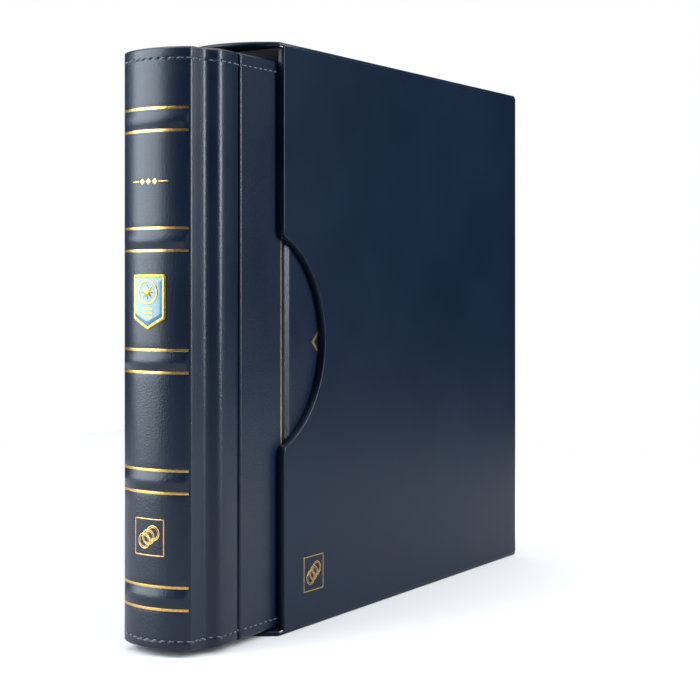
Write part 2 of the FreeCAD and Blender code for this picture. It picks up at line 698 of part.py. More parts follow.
def rivets():
    """Two rivets that hold the housing to the spine board."""
    made = []
    for z in RIVET_HEIGHTS:
        top = Vector(0, HOUSING_BASE_Y + HOUSING_HEIGHT, z)
        cap = Part.makeCylinder(2 * RIVET_RADIUS, RIVET_CAP, top, Vector(0, 1, 0))
        made.append(rivet_cylinder(z, RIVET_RADIUS).fuse([cap, rivet_head(z, 0)]))
    return made


def housing_section(inset):
    """Domed cross-section of the housing: upright skirts and a low arched roof."""
    half = HOUSING_HALF_WIDTH - inset
    base = HOUSING_BASE_Y
    shoulder = HOUSING_BASE_Y + HOUSING_HEIGHT - 2.2 - inset
    crown = HOUSING_BASE_Y + HOUSING_HEIGHT - inset
    roof = Part.Arc(Vector(half, shoulder, 0), Vector(0, crown, 0), Vector(-half, shoulder, 0)).toShape()
    return [
        Part.makeLine(Vector(half, base, 0), Vector(half, shoulder, 0)),
        roof,
        Part.makeLine(Vector(-half, shoulder, 0), Vector(-half, base, 0)),
        Part.makeLine(Vector(-half, base, 0), Vector(half, base, 0)),
    ]


def housing():
    """Domed steel channel with slots for the ring feet."""
    low = ALBUM_MID - HOUSING_LENGTH / 2
    outer = edges_prism(housing_section(0), Vector(0, 0, HOUSING_LENGTH))
    inner = edges_prism(housing_section(HOUSING_SHEET), Vector(0, 0, HOUSING_LENGTH))
    shell = outer.cut(inner)
    shell.translate(Vector(0, 0, low))
    for z in RING_HEIGHTS:
        for side in (-1, 1):
            centre = side * (RING_FOOT_X + 0.9)
            shell = shell.cut(box(centre - 3.4, centre + 3.4, HOUSING_BASE_Y + 3.2,
                                  HOUSING_BASE_Y + HOUSING_HEIGHT + 1, z - 2.2, z + 2.2))
    for z in RIVET_HEIGHTS:
        shell = shell.cut(rivet_cylinder(z, RIVET_RADIUS))
    for end in (-1, 1):
        z = ALBUM_MID + end * HOUSING_LENGTH / 2
        shell = shell.cut(box(-LEVER_WIDTH / 2 - 0.6, LEVER_WIDTH / 2 + 0.6, HOUSING_BASE_Y + 2.0,
                              HOUSING_BASE_Y + HOUSING_HEIGHT + 1, z - LEVER_SLOT, z + LEVER_SLOT))
    for pin in lever_pins():
        shell = shell.cut(pin)
    return shell


def blade():
    """Left blade: a flat strip from the pivot line at the housing's skirt to the middle."""
    width = BLADE_PIVOT_X - 0.45
    strip = box(-BLADE_PIVOT_X, -BLADE_PIVOT_X + width, BLADE_Y - BLADE_SHEET / 2, BLADE_Y + BLADE_SHEET / 2,
                ALBUM_MID - BLADE_LENGTH / 2, ALBUM_MID + BLADE_LENGTH / 2)
    for z in RIVET_HEIGHTS:
        relief = Part.makeCylinder(2 * RIVET_RADIUS, 20, Vector(0, BLADE_Y - 10, z), Vector(0, 1, 0))
        strip = strip.cut(relief)
    bead = Part.makeCylinder(BLADE_SHEET / 2, BLADE_LENGTH,
                             Vector(-BLADE_PIVOT_X, BLADE_Y, ALBUM_MID - BLADE_LENGTH / 2), Vector(0, 0, 1))
    strip = strip.fuse(bead)
    strip.rotate(Vector(-BLADE_PIVOT_X, BLADE_Y, 0), Vector(0, 0, 1), -BLADE_TILT)
    return strip


def ring_half(z):
    """Left half of one ring: foot, knee and half circle up to the tip."""
    foot_start = Vector(-RING_FOOT_X, BLADE_Y - 0.2, z)
    foot = Part.makeCylinder(WIRE_RADIUS, RING_FOOT_RISE + 0.2, foot_start, Vector(0, 1, 0))
    knee_point = Vector(-RING_FOOT_X, BLADE_Y + RING_FOOT_RISE, z)
    knee = Part.makeSphere(WIRE_RADIUS, knee_point)
    hoop = Part.makeTorus(RING_RADIUS, WIRE_RADIUS, Vector(0, RING_CENTRE_Y, z), Vector(0, 0, 1))
    margin = RING_RADIUS + 5
    cutter = prism([
        (-RING_GAP / 2, RING_CENTRE_Y),
        (-RING_GAP / 2, RING_CENTRE_Y + margin),
        (-margin, RING_CENTRE_Y + margin),
        (-margin, RING_CENTRE_Y - margin),
        (-RING_FOOT_X * margin / RING_FOOT_DROP, RING_CENTRE_Y - margin),
    ], z - 5, z + 5)
    return hoop.common(cutter).fuse([foot, knee]).removeSplitter()


def lever(end):
    """Opening lever at one end of the housing: nose under the roof, barrel and thumb plate."""
    z = LEVER_HEIGHTS[0] if end < 0 else LEVER_HEIGHTS[1]
    half = LEVER_WIDTH / 2
    plate = box(-half, half, BLADE_Y, BLADE_Y + LEVER_REACH, z - LEVER_SHEET / 2, z + LEVER_SHEET / 2)
    corners = [edge for edge in plate.Edges
               if edge.BoundBox.ZLength > LEVER_SHEET / 2 and edge.BoundBox.YMin > BLADE_Y + 1]
    plate = plate.makeFillet(3.0, corners)
    barrel = Part.makeCylinder(1.8, LEVER_WIDTH, Vector(-half, BLADE_Y, z), Vector(1, 0, 0))
    nose_low = min(z, z - end * LEVER_NOSE)
    nose = box(-half + 2, half - 2, BLADE_Y - 0.6, BLADE_Y + 0.6, nose_low, nose_low + LEVER_NOSE)
    bore_start = Vector(-half - 1, BLADE_Y, z)
    bore = Part.makeCylinder(PIN_RADIUS + 0.05, LEVER_WIDTH + 2, bore_start, Vector(1, 0, 0))
    return plate.fuse([barrel, nose]).cut(bore)


def lever_pins():
    """Pin across the housing through each lever's barrel."""
    return [Part.makeCylinder(PIN_RADIUS, 2 * HOUSING_HALF_WIDTH, Vector(-HOUSING_HALF_WIDTH, BLADE_Y, z),
                              Vector(1, 0, 0)) for z in LEVER_HEIGHTS]


def mechanism_parts():
    """Ring mechanism, by node name."""
    left_blade = blade()
    left_rings = [ring_half(z) for z in RING_HEIGHTS]
    for ring in left_rings:
        left_blade = left_blade.cut(ring)
    right_rings = [mirrored(ring) for ring in left_rings]
    return {
        "ring_housing": housing(),
        "housing_rivets": solids(rivets()),
        "left_blade": left_blade,
        "right_blade": mirrored(left_blade),
        "left_ring_halves": solids(left_rings),
        "right_ring_halves": solids(right_rings),
        "top_lever": lever(1),
        "bottom_lever": lever(-1),
        "lever_pins": solids(lever_pins()),
    }


# ---- pages --------------------------------------------------------------------------------------
def page_start(x):
    """Binding edge of a leaf that hangs on the rings at a given x."""
    return RING_CENTRE_Y + math.sqrt(RING_RADIUS ** 2 - x ** 2) - HOLE_MARGIN


def punched(leaf, x):
    """Leaf with four slots for the rings."""
    centre_y = page_start(x) + HOLE_MARGIN + HOLE_SHIFT
    run = HOLE_LENGTH - HOLE_WIDTH
    radius = HOLE_WIDTH / 2
    for z in RING_HEIGHTS:
        slot = box(x - 2, x + 2, centre_y - run / 2, centre_y + run / 2, z - radius, z + radius)
        for side in (-1, 1):
            end = Vector(x - 2, centre_y + side * run / 2, z)
            slot = slot.fuse(Part.makeCylinder(radius, 4, end, Vector(1, 0, 0)))
        leaf = leaf.cut(slot)
    return leaf


def coin_page(x):
    """Clear sheet with welded seams round its coin pockets."""
    start = page_start(x)
    low = ALBUM_MID - PAGE_HEIGHT / 2
    high = ALBUM_MID + PAGE_HEIGHT / 2
    end = start + PAGE_WIDTH
    sheet = box(x - PAGE_SHEET / 2, x + PAGE_SHEET / 2, start, end, low, high)
    half = PAGE_SEAM / 2
    pockets_start = start + 24.0
    seams = [box(x - half, x + half, start, pockets_start, low, high)]
    column = (end - pockets_start - 2.0) / PAGE_COLUMNS
    for step in range(1, PAGE_COLUMNS + 1):
        y = pockets_start + step * column
        seams.append(box(x - half, x + half, y, y + 2.0, low, high))
    row = (PAGE_HEIGHT - 2.0) / PAGE_ROWS
    for step in range(PAGE_ROWS + 1):
        z = low + step * row
        seams.append(box(x - half, x + half, start, end, z, z + 2.0))
    return punched(sheet.fuse(seams).removeSplitter(), x)


def interleaf(x):
    """Card leaf between two coin pages."""
    start = page_start(x)
    half = INTERLEAF_SHEET / 2
    leaf = box(x - half, x + half, start, start + PAGE_WIDTH - 1.0, ALBUM_MID - PAGE_HEIGHT / 2 + 0.5,
               ALBUM_MID + PAGE_HEIGHT / 2 - 0.5)
    return punched(leaf, x)


def page_parts():
    """Coin pages and interleaves in turn across the rings, by node name."""
    leaves = {}
    pitch = PAGE_SPREAD / (2 * PAGE_COUNT - 1)
    for index in range(PAGE_COUNT):
        x = PAGE_SPREAD / 2 - 2 * index * pitch
        leaves["interleaf_%d" % (index + 1)] = interleaf(x)
        leaves["coin_page_%d" % (index + 1)] = coin_page(x - pitch)
    return leaves


def main():
    """Write one STEP file per node."""
    os.makedirs("parts", exist_ok=True)
    nodes = {}
    for made in (slipcase_parts(), album_case_parts(), mechanism_parts(), page_parts()):
        nodes.update(made)
    for name, shape in nodes.items():
        shape.exportStep("parts/%s.step" % name)
        print("%-24s solids %3d  volume %10.1f  valid %s"
              % (name, len(shape.Solids), shape.Volume, shape.isValid()))


main()
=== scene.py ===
"""Coin album drawn part of the way out of its slipcase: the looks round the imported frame.

Lengths are millimetres in the shapes and metres in the finished meshes. +Z is up, +Y goes into the
slipcase, the spine faces -Y and the front cover faces +X.
"""
import logging
import math
from dataclasses import dataclass, field
from enum import Enum

import bmesh
import bpy
import numpy as np
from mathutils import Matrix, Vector


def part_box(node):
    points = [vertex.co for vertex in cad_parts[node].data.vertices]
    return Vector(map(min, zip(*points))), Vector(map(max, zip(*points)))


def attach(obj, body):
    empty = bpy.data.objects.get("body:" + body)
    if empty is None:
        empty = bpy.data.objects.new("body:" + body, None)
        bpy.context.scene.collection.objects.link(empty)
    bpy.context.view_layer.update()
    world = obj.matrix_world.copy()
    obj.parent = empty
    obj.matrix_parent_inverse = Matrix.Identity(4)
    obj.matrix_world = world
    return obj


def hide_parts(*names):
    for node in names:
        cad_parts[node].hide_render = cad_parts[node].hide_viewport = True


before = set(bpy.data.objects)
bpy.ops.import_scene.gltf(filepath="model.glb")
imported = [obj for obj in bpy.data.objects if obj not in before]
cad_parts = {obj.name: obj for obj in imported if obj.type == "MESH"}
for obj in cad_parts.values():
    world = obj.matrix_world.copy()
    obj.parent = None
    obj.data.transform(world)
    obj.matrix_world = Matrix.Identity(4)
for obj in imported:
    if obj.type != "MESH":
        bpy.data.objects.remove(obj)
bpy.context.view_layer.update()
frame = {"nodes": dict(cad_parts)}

MM = 0.001
LOG = logging.getLogger("album")

Array = np.ndarray
Colour = tuple[float, float, float]


def node_box(node: str) -> tuple[Array, Array]:
    """Lowest and highest corner of a frame node.

    Args:
        node: The node's name.

    Returns:
        Two corners in millimetres.
    """
    low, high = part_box(node)
    return np.array(low) / MM, np.array(high) / MM


# ---- finishes -----------------------------------------------------------------------------------
class Slot(Enum):
    """Material slots of the record for the detailed pieces; the script gives no piece a slot."""

    LEATHERETTE = "leatherette"
    FOIL = "gold_foil"
    GILT = "gilt_metal"
    ENAMEL = "enamel"
    THREAD = "thread"


class Recipe:
    """Node tree of one material, wired up piece by piece."""

    def __init__(self, name: str) -> None:
        """Start an empty principled material.

        Args:
            name: Name of the material.
        """
        self.material = bpy.data.materials.new(name)
        self.material.use_nodes = True
        self.tree = self.material.node_tree
        self.shader = self.tree.nodes["Principled BSDF"]
        self.place = self.tree.nodes.new("ShaderNodeTexCoord").outputs["Object"]

    def put(self, **values: object) -> None:
        """Set numbers and colours on the shader's own sockets.

        Args:
            values: Socket names, with underscores for spaces.
        """
        for name, value in values.items():
            socket = self.shader.inputs[name.replace("_", " ")]
            socket.default_value = (*value, 1.0) if isinstance(value, tuple) else value

    def stretched(self, scale: tuple[float, float, float]) -> bpy.types.NodeSocket:
        """Object coordinates, stretched.

        Args:
            scale: Factor along each axis.

        Returns:
            Vector output.
        """
        mapping = self.tree.nodes.new("ShaderNodeMapping")
        mapping.inputs["Scale"].default_value = scale
        self.tree.links.new(self.place, mapping.inputs["Vector"])
        return mapping.outputs["Vector"]

    def noise(self, scale: float, detail: float = 2.0, place: object = None) -> bpy.types.NodeSocket:
        """Soft noise from 0 to 1.

        Args:
            scale: Features per metre.
            detail: Octaves.
            place: Vector to read, or None for plain object coordinates.

        Returns:
            Value output.
        """
        node = self.tree.nodes.new("ShaderNodeTexNoise")
        node.inputs["Scale"].default_value = scale
        node.inputs["Detail"].default_value = detail
        self.tree.links.new(place or self.place, node.inputs["Vector"])
        return node.outputs["Fac"]

    def cells(self, scale: float, place: object = None) -> bpy.types.NodeSocket:
        """Pebbled cells: distance to the nearest cell centre.

        Args:
            scale: Cells per metre.
            place: Vector to read, or None for plain object coordinates.

        Returns:
            Distance output.
        """
        node = self.tree.nodes.new("ShaderNodeTexVoronoi")
        node.feature = "SMOOTH_F1"
        node.inputs["Scale"].default_value = scale
        node.inputs["Smoothness"].default_value = 0.6
        self.tree.links.new(place or self.place, node.inputs["Vector"])
        return node.outputs["Distance"]

    def sum(self, first: object, second: object, share: float) -> bpy.types.NodeSocket:
        """First value plus a share of the second.

        Args:
            first: Value output.
            second: Value output.
            share: Factor on the second.

        Returns:
            Value output.
        """
        node = self.tree.nodes.new("ShaderNodeMath")
        node.operation = "MULTIPLY_ADD"
        self.tree.links.new(second, node.inputs[0])
        node.inputs[1].default_value = share
        self.tree.links.new(first, node.inputs[2])
        return node.outputs["Value"]

    def ramp(self, value: object, low: float, high: float, out_low: float, out_high: float) -> object:
        """Value mapped from one range to another and held at the ends.

        Args:
            value: Value output.
            low: Input that gives out_low.
            high: Input that gives out_high.
            out_low: Result at low.
            out_high: Result at high.

        Returns:
            Value output.
        """
        node = self.tree.nodes.new("ShaderNodeMapRange")
        limits = (("From Min", low), ("From Max", high), ("To Min", out_low), ("To Max", out_high))
        for name, number in limits:
            node.inputs[name].default_value = number
        self.tree.links.new(value, node.inputs["Value"])
        return node.outputs["Result"]

    def blend_colours(self, value: object, first: Colour, second: Colour) -> bpy.types.NodeSocket:
        """Colour between two, by a value from 0 to 1.

        Args:
            value: Value output.
            first: Colour at 0.
            second: Colour at 1.

        Returns:
            Colour output.
        """
        node = self.tree.nodes.new("ShaderNodeMix")
        node.data_type = "RGBA"
        self.tree.links.new(value, node.inputs["Factor"])
        node.inputs[6].default_value = (*first, 1.0)
        node.inputs[7].default_value = (*second, 1.0)
        return node.outputs[2]

    def join(self, output: object, name: str) -> None:
        """Wire an output to one of the shader's sockets.

        Args:
            output: The output.
            name: Socket name.
        """
        self.tree.links.new(output, self.shader.inputs[name])

    def bump(self, height: object, depth: float, strength: float = 1.0, below: object = None) -> object:
        """Relief on the surface normal.

        Args:
            height: Value output.
            depth: Height of a value of 1, in metres.
            strength: Strength from 0 to 1.
            below: Normal output that this one adds to.

        Returns:
            Normal output, which is also wired to the shader.
        """
        node = self.tree.nodes.new("ShaderNodeBump")
        node.inputs["Strength"].default_value = strength
        node.inputs["Distance"].default_value = depth
        self.tree.links.new(height, node.inputs["Height"])
        if below is not None:
            self.tree.links.new(below, node.inputs["Normal"])
        self.join(node.outputs["Normal"], "Normal")
        return node.outputs["Normal"]


@dataclass(frozen=True)
class Leatherette:
    """Dark bonded leather with a pressed pebble grain and a thin gloss."""

    name: str
    colour: Colour = (0.0010, 0.0046, 0.0125)
    worn: Colour = (0.0014, 0.0060, 0.0155)
    roughness: float = 0.29
    grain: float = 1150.0
    grain_depth: float = 0.00010
    wave_depth: float = 0.0006
    coat: float = 0.12
    shine: float = 0.22

    def build(self) -> bpy.types.Material:
        """Make the material."""
        recipe = Recipe(self.name)
        cloud = recipe.noise(14.0, 4.0)
        tone = recipe.ramp(cloud, 0.35, 0.7, 0.0, 1.0)
        recipe.join(recipe.blend_colours(tone, self.colour, self.worn), "Base Color")
        pebble = recipe.cells(self.grain)
        fine = recipe.noise(self.grain * 2.6, 2.0)
        patchy = recipe.ramp(cloud, 0.3, 0.7, self.roughness - 0.03, self.roughness + 0.03)
        recipe.join(recipe.sum(patchy, fine, 0.05), "Roughness")
        wave = recipe.bump(recipe.noise(22.0, 2.0), self.wave_depth, 0.35)
        recipe.bump(recipe.sum(pebble, fine, 0.55), self.grain_depth, 0.8, wave)
        recipe.put(IOR=1.5, Specular_IOR_Level=self.shine)
        recipe.put(Coat_Weight=self.coat, Coat_Roughness=0.22, Coat_IOR=1.45)
        return recipe.material


@dataclass(frozen=True)
class Metal:
    """Foil, gilt or plated steel with small uneven marks."""

    name: str
    colour: Colour
    shade: Colour
    roughness: float = 0.3
    marks: tuple[float, float, float] = (1.0, 1.0, 1.0)
    mark_scale: float = 900.0
    depth: float = 0.00001

    def build(self) -> bpy.types.Material:
        """Make the material."""
        recipe = Recipe(self.name)
        place = recipe.stretched(self.marks)
        speckle = recipe.noise(self.mark_scale, 3.0, place)
        tone = recipe.ramp(speckle, 0.4, 0.7, 0.0, 1.0)
        recipe.join(recipe.blend_colours(tone, self.colour, self.shade), "Base Color")
        recipe.join(recipe.ramp(speckle, 0.3, 0.7, self.roughness - 0.06, self.roughness + 0.1), "Roughness")
        recipe.bump(speckle, self.depth)
        recipe.put(Metallic=1.0)
        return recipe.material


@dataclass(frozen=True)
class Fibre:
    """Paper, card, board, foam, thread or suede: matt, with a fibrous fleck."""

    name: str
    colour: Colour
    fleck: Colour
    fleck_scale: float = 700.0
    depth: float = 0.00004
    roughness: float = 0.85
    sheen: float = 0.0
    along: tuple[float, float, float] = (1.0, 1.0, 1.0)

    def build(self) -> bpy.types.Material:
        """Make the material."""
        recipe = Recipe(self.name)
        place = recipe.stretched(self.along)
        fleck = recipe.noise(self.fleck_scale, 5.0, place)
        tone = recipe.ramp(fleck, 0.38, 0.66, 0.0, 1.0)
        recipe.join(recipe.blend_colours(tone, self.colour, self.fleck), "Base Color")
        recipe.join(recipe.ramp(fleck, 0.3, 0.7, self.roughness - 0.08, self.roughness + 0.06), "Roughness")
        recipe.bump(recipe.sum(fleck, recipe.noise(60.0, 2.0), 0.5), self.depth)
        recipe.put(Sheen_Weight=self.sheen)
        return recipe.material


@dataclass(frozen=True)
class Enamel:
    """Glossy fired enamel with a slight cloud in its colour."""

    name: str
    colour: Colour
    deep: Colour

    def build(self) -> bpy.types.Material:
        """Make the material."""
        recipe = Recipe(self.name)
        cloud = recipe.noise(260.0, 2.0)
        tone = recipe.ramp(cloud, 0.3, 0.7, 0.0, 1.0)
        recipe.join(recipe.blend_colours(tone, self.colour, self.deep), "Base Color")
        recipe.join(recipe.ramp(cloud, 0.3, 0.7, 0.16, 0.26), "Roughness")
        recipe.bump(cloud, 0.00005, 0.4)
        recipe.put(Coat_Weight=0.25, Coat_Roughness=0.10)
        return recipe.material


@dataclass(frozen=True)
class Film:
    """Clear soft film with a faint ripple."""

    name: str

    def build(self) -> bpy.types.Material:
        """Make the material."""
        recipe = Recipe(self.name)
        ripple = recipe.noise(45.0, 2.0, recipe.stretched((1.0, 1.0, 0.4)))
        recipe.join(recipe.ramp(ripple, 0.3, 0.7, 0.06, 0.16), "Roughness")
        recipe.bump(ripple, 0.0004, 0.3)
        recipe.put(Base_Color=(0.93, 0.95, 0.96), Transmission_Weight=0.92, IOR=1.46)
        return recipe.material


class Palette:
    """Every finish of the album and its slipcase, made once."""

    def __init__(self) -> None:
        """Make the finishes."""
        self.spine = Leatherette("album_leatherette").build()
        self.case = Leatherette("slipcase_leatherette", roughness=0.34, grain=1500.0, grain_depth=0.000016,
                                wave_depth=0.0004, coat=0.06, shine=0.12).build()
        self.foil = Metal("stamped_gold_foil", (0.50, 0.31, 0.10), (0.38, 0.22, 0.06), 0.30).build()
        self.gilt = Metal("gilt_relief", (0.42, 0.30, 0.05), (0.36, 0.24, 0.035), 0.30, depth=0.00003).build()
        self.enamel = Enamel("blue_enamel", (0.030, 0.13, 0.21), (0.022, 0.10, 0.165)).build()
        self.thread = Fibre("navy_thread", (0.006, 0.011, 0.028), (0.020, 0.030, 0.055), 2500.0, 0.00005, 0.6,
                            0.3).build()
        self.nickel = Metal("bright_nickel", (0.74, 0.73, 0.70), (0.62, 0.61, 0.59), 0.24,
                            (1.0, 1.0, 0.03), 2200.0).build()
        self.board = Fibre("grey_board", (0.30, 0.27, 0.23), (0.20, 0.18, 0.155)).build()
        self.foam = Fibre("pad_foam", (0.55, 0.54, 0.50), (0.42, 0.41, 0.38), 1400.0, 0.0002).build()
        self.lining = Fibre("lining_suede", (0.0045, 0.0060, 0.0100), (0.0075, 0.0095, 0.0150), 2400.0,
                            0.00005, 0.9, 0.15).build()
        self.endpaper = Fibre("endpaper_navy", (0.010, 0.016, 0.034), (0.016, 0.024, 0.046), 500.0, 0.00002,
                              0.7).build()
        self.film = Film("clear_film").build()
        self.card = Fibre("page_card", (0.030, 0.030, 0.035), (0.045, 0.045, 0.050), 1100.0, 0.00002,
                          0.8).build()

    def dress_nodes(self, nodes: dict[str, bpy.types.Object]) -> None:
        """Give every carried-over node its finish.

        Args:
            nodes: Frame nodes by name.
        """
        rules = (("blade", self.nickel), ("ring", self.nickel), ("rivets", self.nickel),
                 ("lever", self.nickel),
                 ("lining", self.lining), ("endpaper", self.endpaper), ("coin_page", self.film),
                 ("interleaf", self.card), ("joint_pad", self.foam), ("cover_pad", self.foam),
                 ("board", self.board), ("former", self.board), ("bands", self.board), ("gold", self.foil),
                 ("ornament", self.foil), ("mark", self.foil), ("plate", self.gilt), ("enamel", self.enamel),
                 ("stitching", self.thread), ("slipcase", self.case), ("leather", self.spine))
        for name, obj in nodes.items():
            finish = next(material for word, material in rules if word in name)
            obj.data.materials.clear()
            obj.data.materials.append(finish)


# ---- meshes -------------------------------------------------------------------------------------
class Shell:
    """Grids and caps gathered in millimetres, then joined into one closed mesh."""

    def __init__(self) -> None:
        """Start with nothing."""
        self._points: list[Array] = []
        self._faces: list[list[int]] = []
        self._count = 0

    def _add_points(self, points: Array) -> int:
        """Keep some points and return the index of the first."""
        first = self._count
        self._points.append(points.reshape(-1, 3))
        self._count += self._points[-1].shape[0]
        return first

    def grid(self, points: Array, close_rows: bool = False, close_columns: bool = False) -> Array:
        """Quads between neighbouring points of a grid.

        Args:
            points: Array of rows, columns and three coordinates.
            close_rows: Join the last row to the first.
            close_columns: Join the last column to the first.

        Returns:
            Index of each point, as rows and columns.
        """
        rows, columns = points.shape[:2]
        index = self._add_points(points) + np.arange(rows * columns).reshape(rows, columns)
        net = np.vstack([index, index[:1]]) if close_rows else index
        net = np.hstack([net, net[:, :1]]) if close_columns else net
        quads = np.stack([net[:-1, :-1], net[1:, :-1], net[1:, 1:], net[:-1, 1:]], axis=-1)
        self._faces += quads.reshape(-1, 4).tolist()
        return index

    def cap(self, loop: Array) -> None:
        """One flat face over a loop of point indices."""
        self._faces.append([int(i) for i in loop])

    def tube(self, points: Array) -> None:
        """Closed tube from a row of section loops, capped at both ends.

        Args:
            points: Array of stations, points round the section and three coordinates.
        """
        index = self.grid(points, close_columns=True)
        self.cap(index[0])
        self.cap(index[-1])

    def hoop(self, points: Array) -> None:
        """Tube whose last station joins its first."""
        self.grid(points, close_rows=True, close_columns=True)

    def stack(self, loops: Array) -> None:
        """Solid from a stack of equal outlines, capped below and above."""
        self.tube(loops)

    def build(self, name: str, crease_degrees: float = 40.0) -> bpy.types.Object:
        """Join everything into an object with outward faces.

        Args:
            name: Name of the piece.
            crease_degrees: Edges sharper than this stay sharp.

        Returns:
            The object, at the origin.
        """
        mesh = bpy.data.meshes.new(name)
        mesh.from_pydata(np.vstack(self._points) * MM, [], self._faces)
        work = bmesh.new()
        work.from_mesh(mesh)
        bmesh.ops.remove_doubles(work, verts=work.verts, dist=1e-7)
        bmesh.ops.recalc_face_normals(work, faces=work.faces)
        work.to_mesh(mesh)
        work.free()
        mesh.validate()
        mesh.shade_smooth()
        mesh.set_sharp_from_angle(angle=math.radians(crease_degrees))
        obj = bpy.data.objects.new(name, mesh)
        bpy.context.scene.collection.objects.link(obj)
        return obj


def finish_piece(obj: bpy.types.Object, material: bpy.types.Material, body: str,
                 stands_for: tuple[str, ...] = ()) -> bpy.types.Object:
    """Dress a piece, let it ride on its body and log it.

    Args:
        obj: The piece.
        material: Its finish.
        body: Body that it moves with.
        stands_for: Frame nodes that it replaces.

    Returns:
        The piece.
    """
    obj.data.materials.append(material)
    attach(obj, body)
    if stands_for:
        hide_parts(*stands_for)
    LOG.info("%s on %s: %d faces", obj.name, body, len(obj.data.polygons))
    return obj


def smooth_step(value: Array) -> Array:
    """Smooth rise from 0 at 0 to 1 at 1: 3v^2 - 2v^3."""
    held = np.clip(value, 0.0, 1.0)
    return held * held * (3.0 - 2.0 * held)


def spaced(low: float, high: float, base: float, fine: list[tuple[float, float, float]]) -> Array:
    """Numbers from low to high, closer together inside given stretches.

    Args:
        low: First number.
        high: Last number.
        base: Usual spacing.
        fine: Stretches as centre, half length and spacing.

    Returns:
        Sorted numbers.
    """
    samples = np.linspace(low, high, 6001)
    density = np.full_like(samples, 1.0 / base)
    for centre, half, spacing in fine:
        density = np.where(np.abs(samples - centre) < half, np.maximum(density, 1.0 / spacing), density)
    total = np.concatenate([[0.0], np.cumsum((density[1:] + density[:-1]) / 2 * np.diff(samples))])
    count = int(total[-1]) + 2
    return np.interp(np.linspace(0.0, total[-1], count), total, samples)


def rounded_ends(radius: float, steps: int = 6) -> tuple[Array, Array]:
    """Quarter round, as how far in from the end and how far under the face each point lies.

    Args:
        radius: Radius of the round.
        steps: Segments in the quarter.

    Returns:
        Distances along and distances under, from the face towards the end.
    """
    turn = np.linspace(0.0, math.pi / 2, steps + 1)
    return radius * (1.0 - np.sin(turn)), radius * (1.0 - np.cos(turn))


# ---- flat shapes laid on a surface ---------------------------------------------------------------
class Outline:
    """Closed outlines in two coordinates."""

    @staticmethod
    def square(centre: tuple[float, float], size: float) -> Array:
        """Four corners."""
        corners = np.array([(-1, -1), (1, -1), (1, 1), (-1, 1)], float)
        return corners * size / 2 + centre

    @staticmethod
    def lozenge(centre: tuple[float, float], half_a: float, half_b: float) -> Array:
        """Four points of a lozenge."""
        return np.array([(half_a, 0), (0, half_b), (-half_a, 0), (0, -half_b)], float) + centre

    @staticmethod
    def ring(centre: tuple[float, float], radius: float, count: int = 40) -> Array:
        """Points round a circle."""
        turn = np.linspace(0.0, 2 * math.pi, count, endpoint=False)
        return np.stack([np.cos(turn), np.sin(turn)], axis=1) * radius + centre

    @staticmethod
    def star(centre: tuple[float, float], outer: float, inner: float, points: int) -> Array:
        """Points of a star, one straight up."""
        turn = math.pi / 2 + math.pi * np.arange(2 * points) / points
        radius = np.where(np.arange(2 * points) % 2 == 0, outer, inner)
        return np.stack([np.cos(turn), np.sin(turn)], axis=1) * radius[:, None] + centre

    @staticmethod
    def rounded(corners: Array, radius: float, steps: int = 4) -> Array:
        """Outline with its corners rounded by short parabolas."""
        before = np.roll(corners, 1, axis=0) - corners
        after = np.roll(corners, -1, axis=0) - corners
        before /= np.linalg.norm(before, axis=1, keepdims=True)
        after /= np.linalg.norm(after, axis=1, keepdims=True)
        share = np.linspace(0.0, 1.0, steps + 1)[None, :, None]
        start = (corners + before * radius)[:, None, :]
        end = (corners + after * radius)[:, None, :]
        middle = corners[:, None, :]
        points = start * (1 - share) ** 2 + 2 * middle * share * (1 - share) + end * share ** 2
        return points.reshape(-1, 2)

    @staticmethod
    def dense(corners: Array, spacing: float) -> Array:
        """Outline with points added along its long sides."""
        pieces = []
        for start, end in zip(corners, np.roll(corners, -1, axis=0)):
            count = max(1, int(np.linalg.norm(end - start) / spacing))
            share = np.arange(count)[:, None] / count
            pieces.append(start + (end - start) * share)
        return np.vstack(pieces)

    @staticmethod
    def moved(corners: Array, distance: float) -> Array:
        """Anticlockwise outline moved outwards by a distance, with mitred corners."""
        along = np.roll(corners, -1, axis=0) - corners
        along /= np.linalg.norm(along, axis=1, keepdims=True)
        normal = np.stack([along[:, 1], -along[:, 0]], axis=1)
        mean = normal + np.roll(normal, 1, axis=0)
        mean /= np.maximum(np.sum(mean * mean, axis=1, keepdims=True) / 2, 0.15)
        return corners + mean * distance


class Surface:
    """Something flat shapes are laid on: gives a point for two coordinates and a height."""

    def at(self, flat: Array, height: Array) -> Array:
        """Points in space.

        Args:
            flat: Array whose last axis holds the two coordinates.
            height: Height over the surface, of the same shape without that axis.

        Returns:
            Array whose last axis holds x, y and z.
        """
        raise NotImplementedError


@dataclass(frozen=True)
class RoundSpine(Surface):
    """The spine's rounded face: x across and z up."""

    radius: float
    centre_y: float

    def at(self, flat: Array, height: Array) -> Array:
        """Point on the circle at x, pushed out along its radius."""
        sine = np.clip(flat[..., 0] / self.radius, -0.99, 0.99)
        reach = self.radius + height
        return np.stack([reach * sine, self.centre_y - reach * np.sqrt(1 - sine * sine),
                         np.broadcast_to(flat[..., 1], sine.shape)], axis=-1)


@dataclass(frozen=True)
class FlatSide(Surface):
    """A face at one x: y along and z up."""

    x: float

    def at(self, flat: Array, height: Array) -> Array:
        """Point on the plane, pushed out along +X."""
        return np.stack([self.x + height, flat[..., 0], flat[..., 1]], axis=-1)


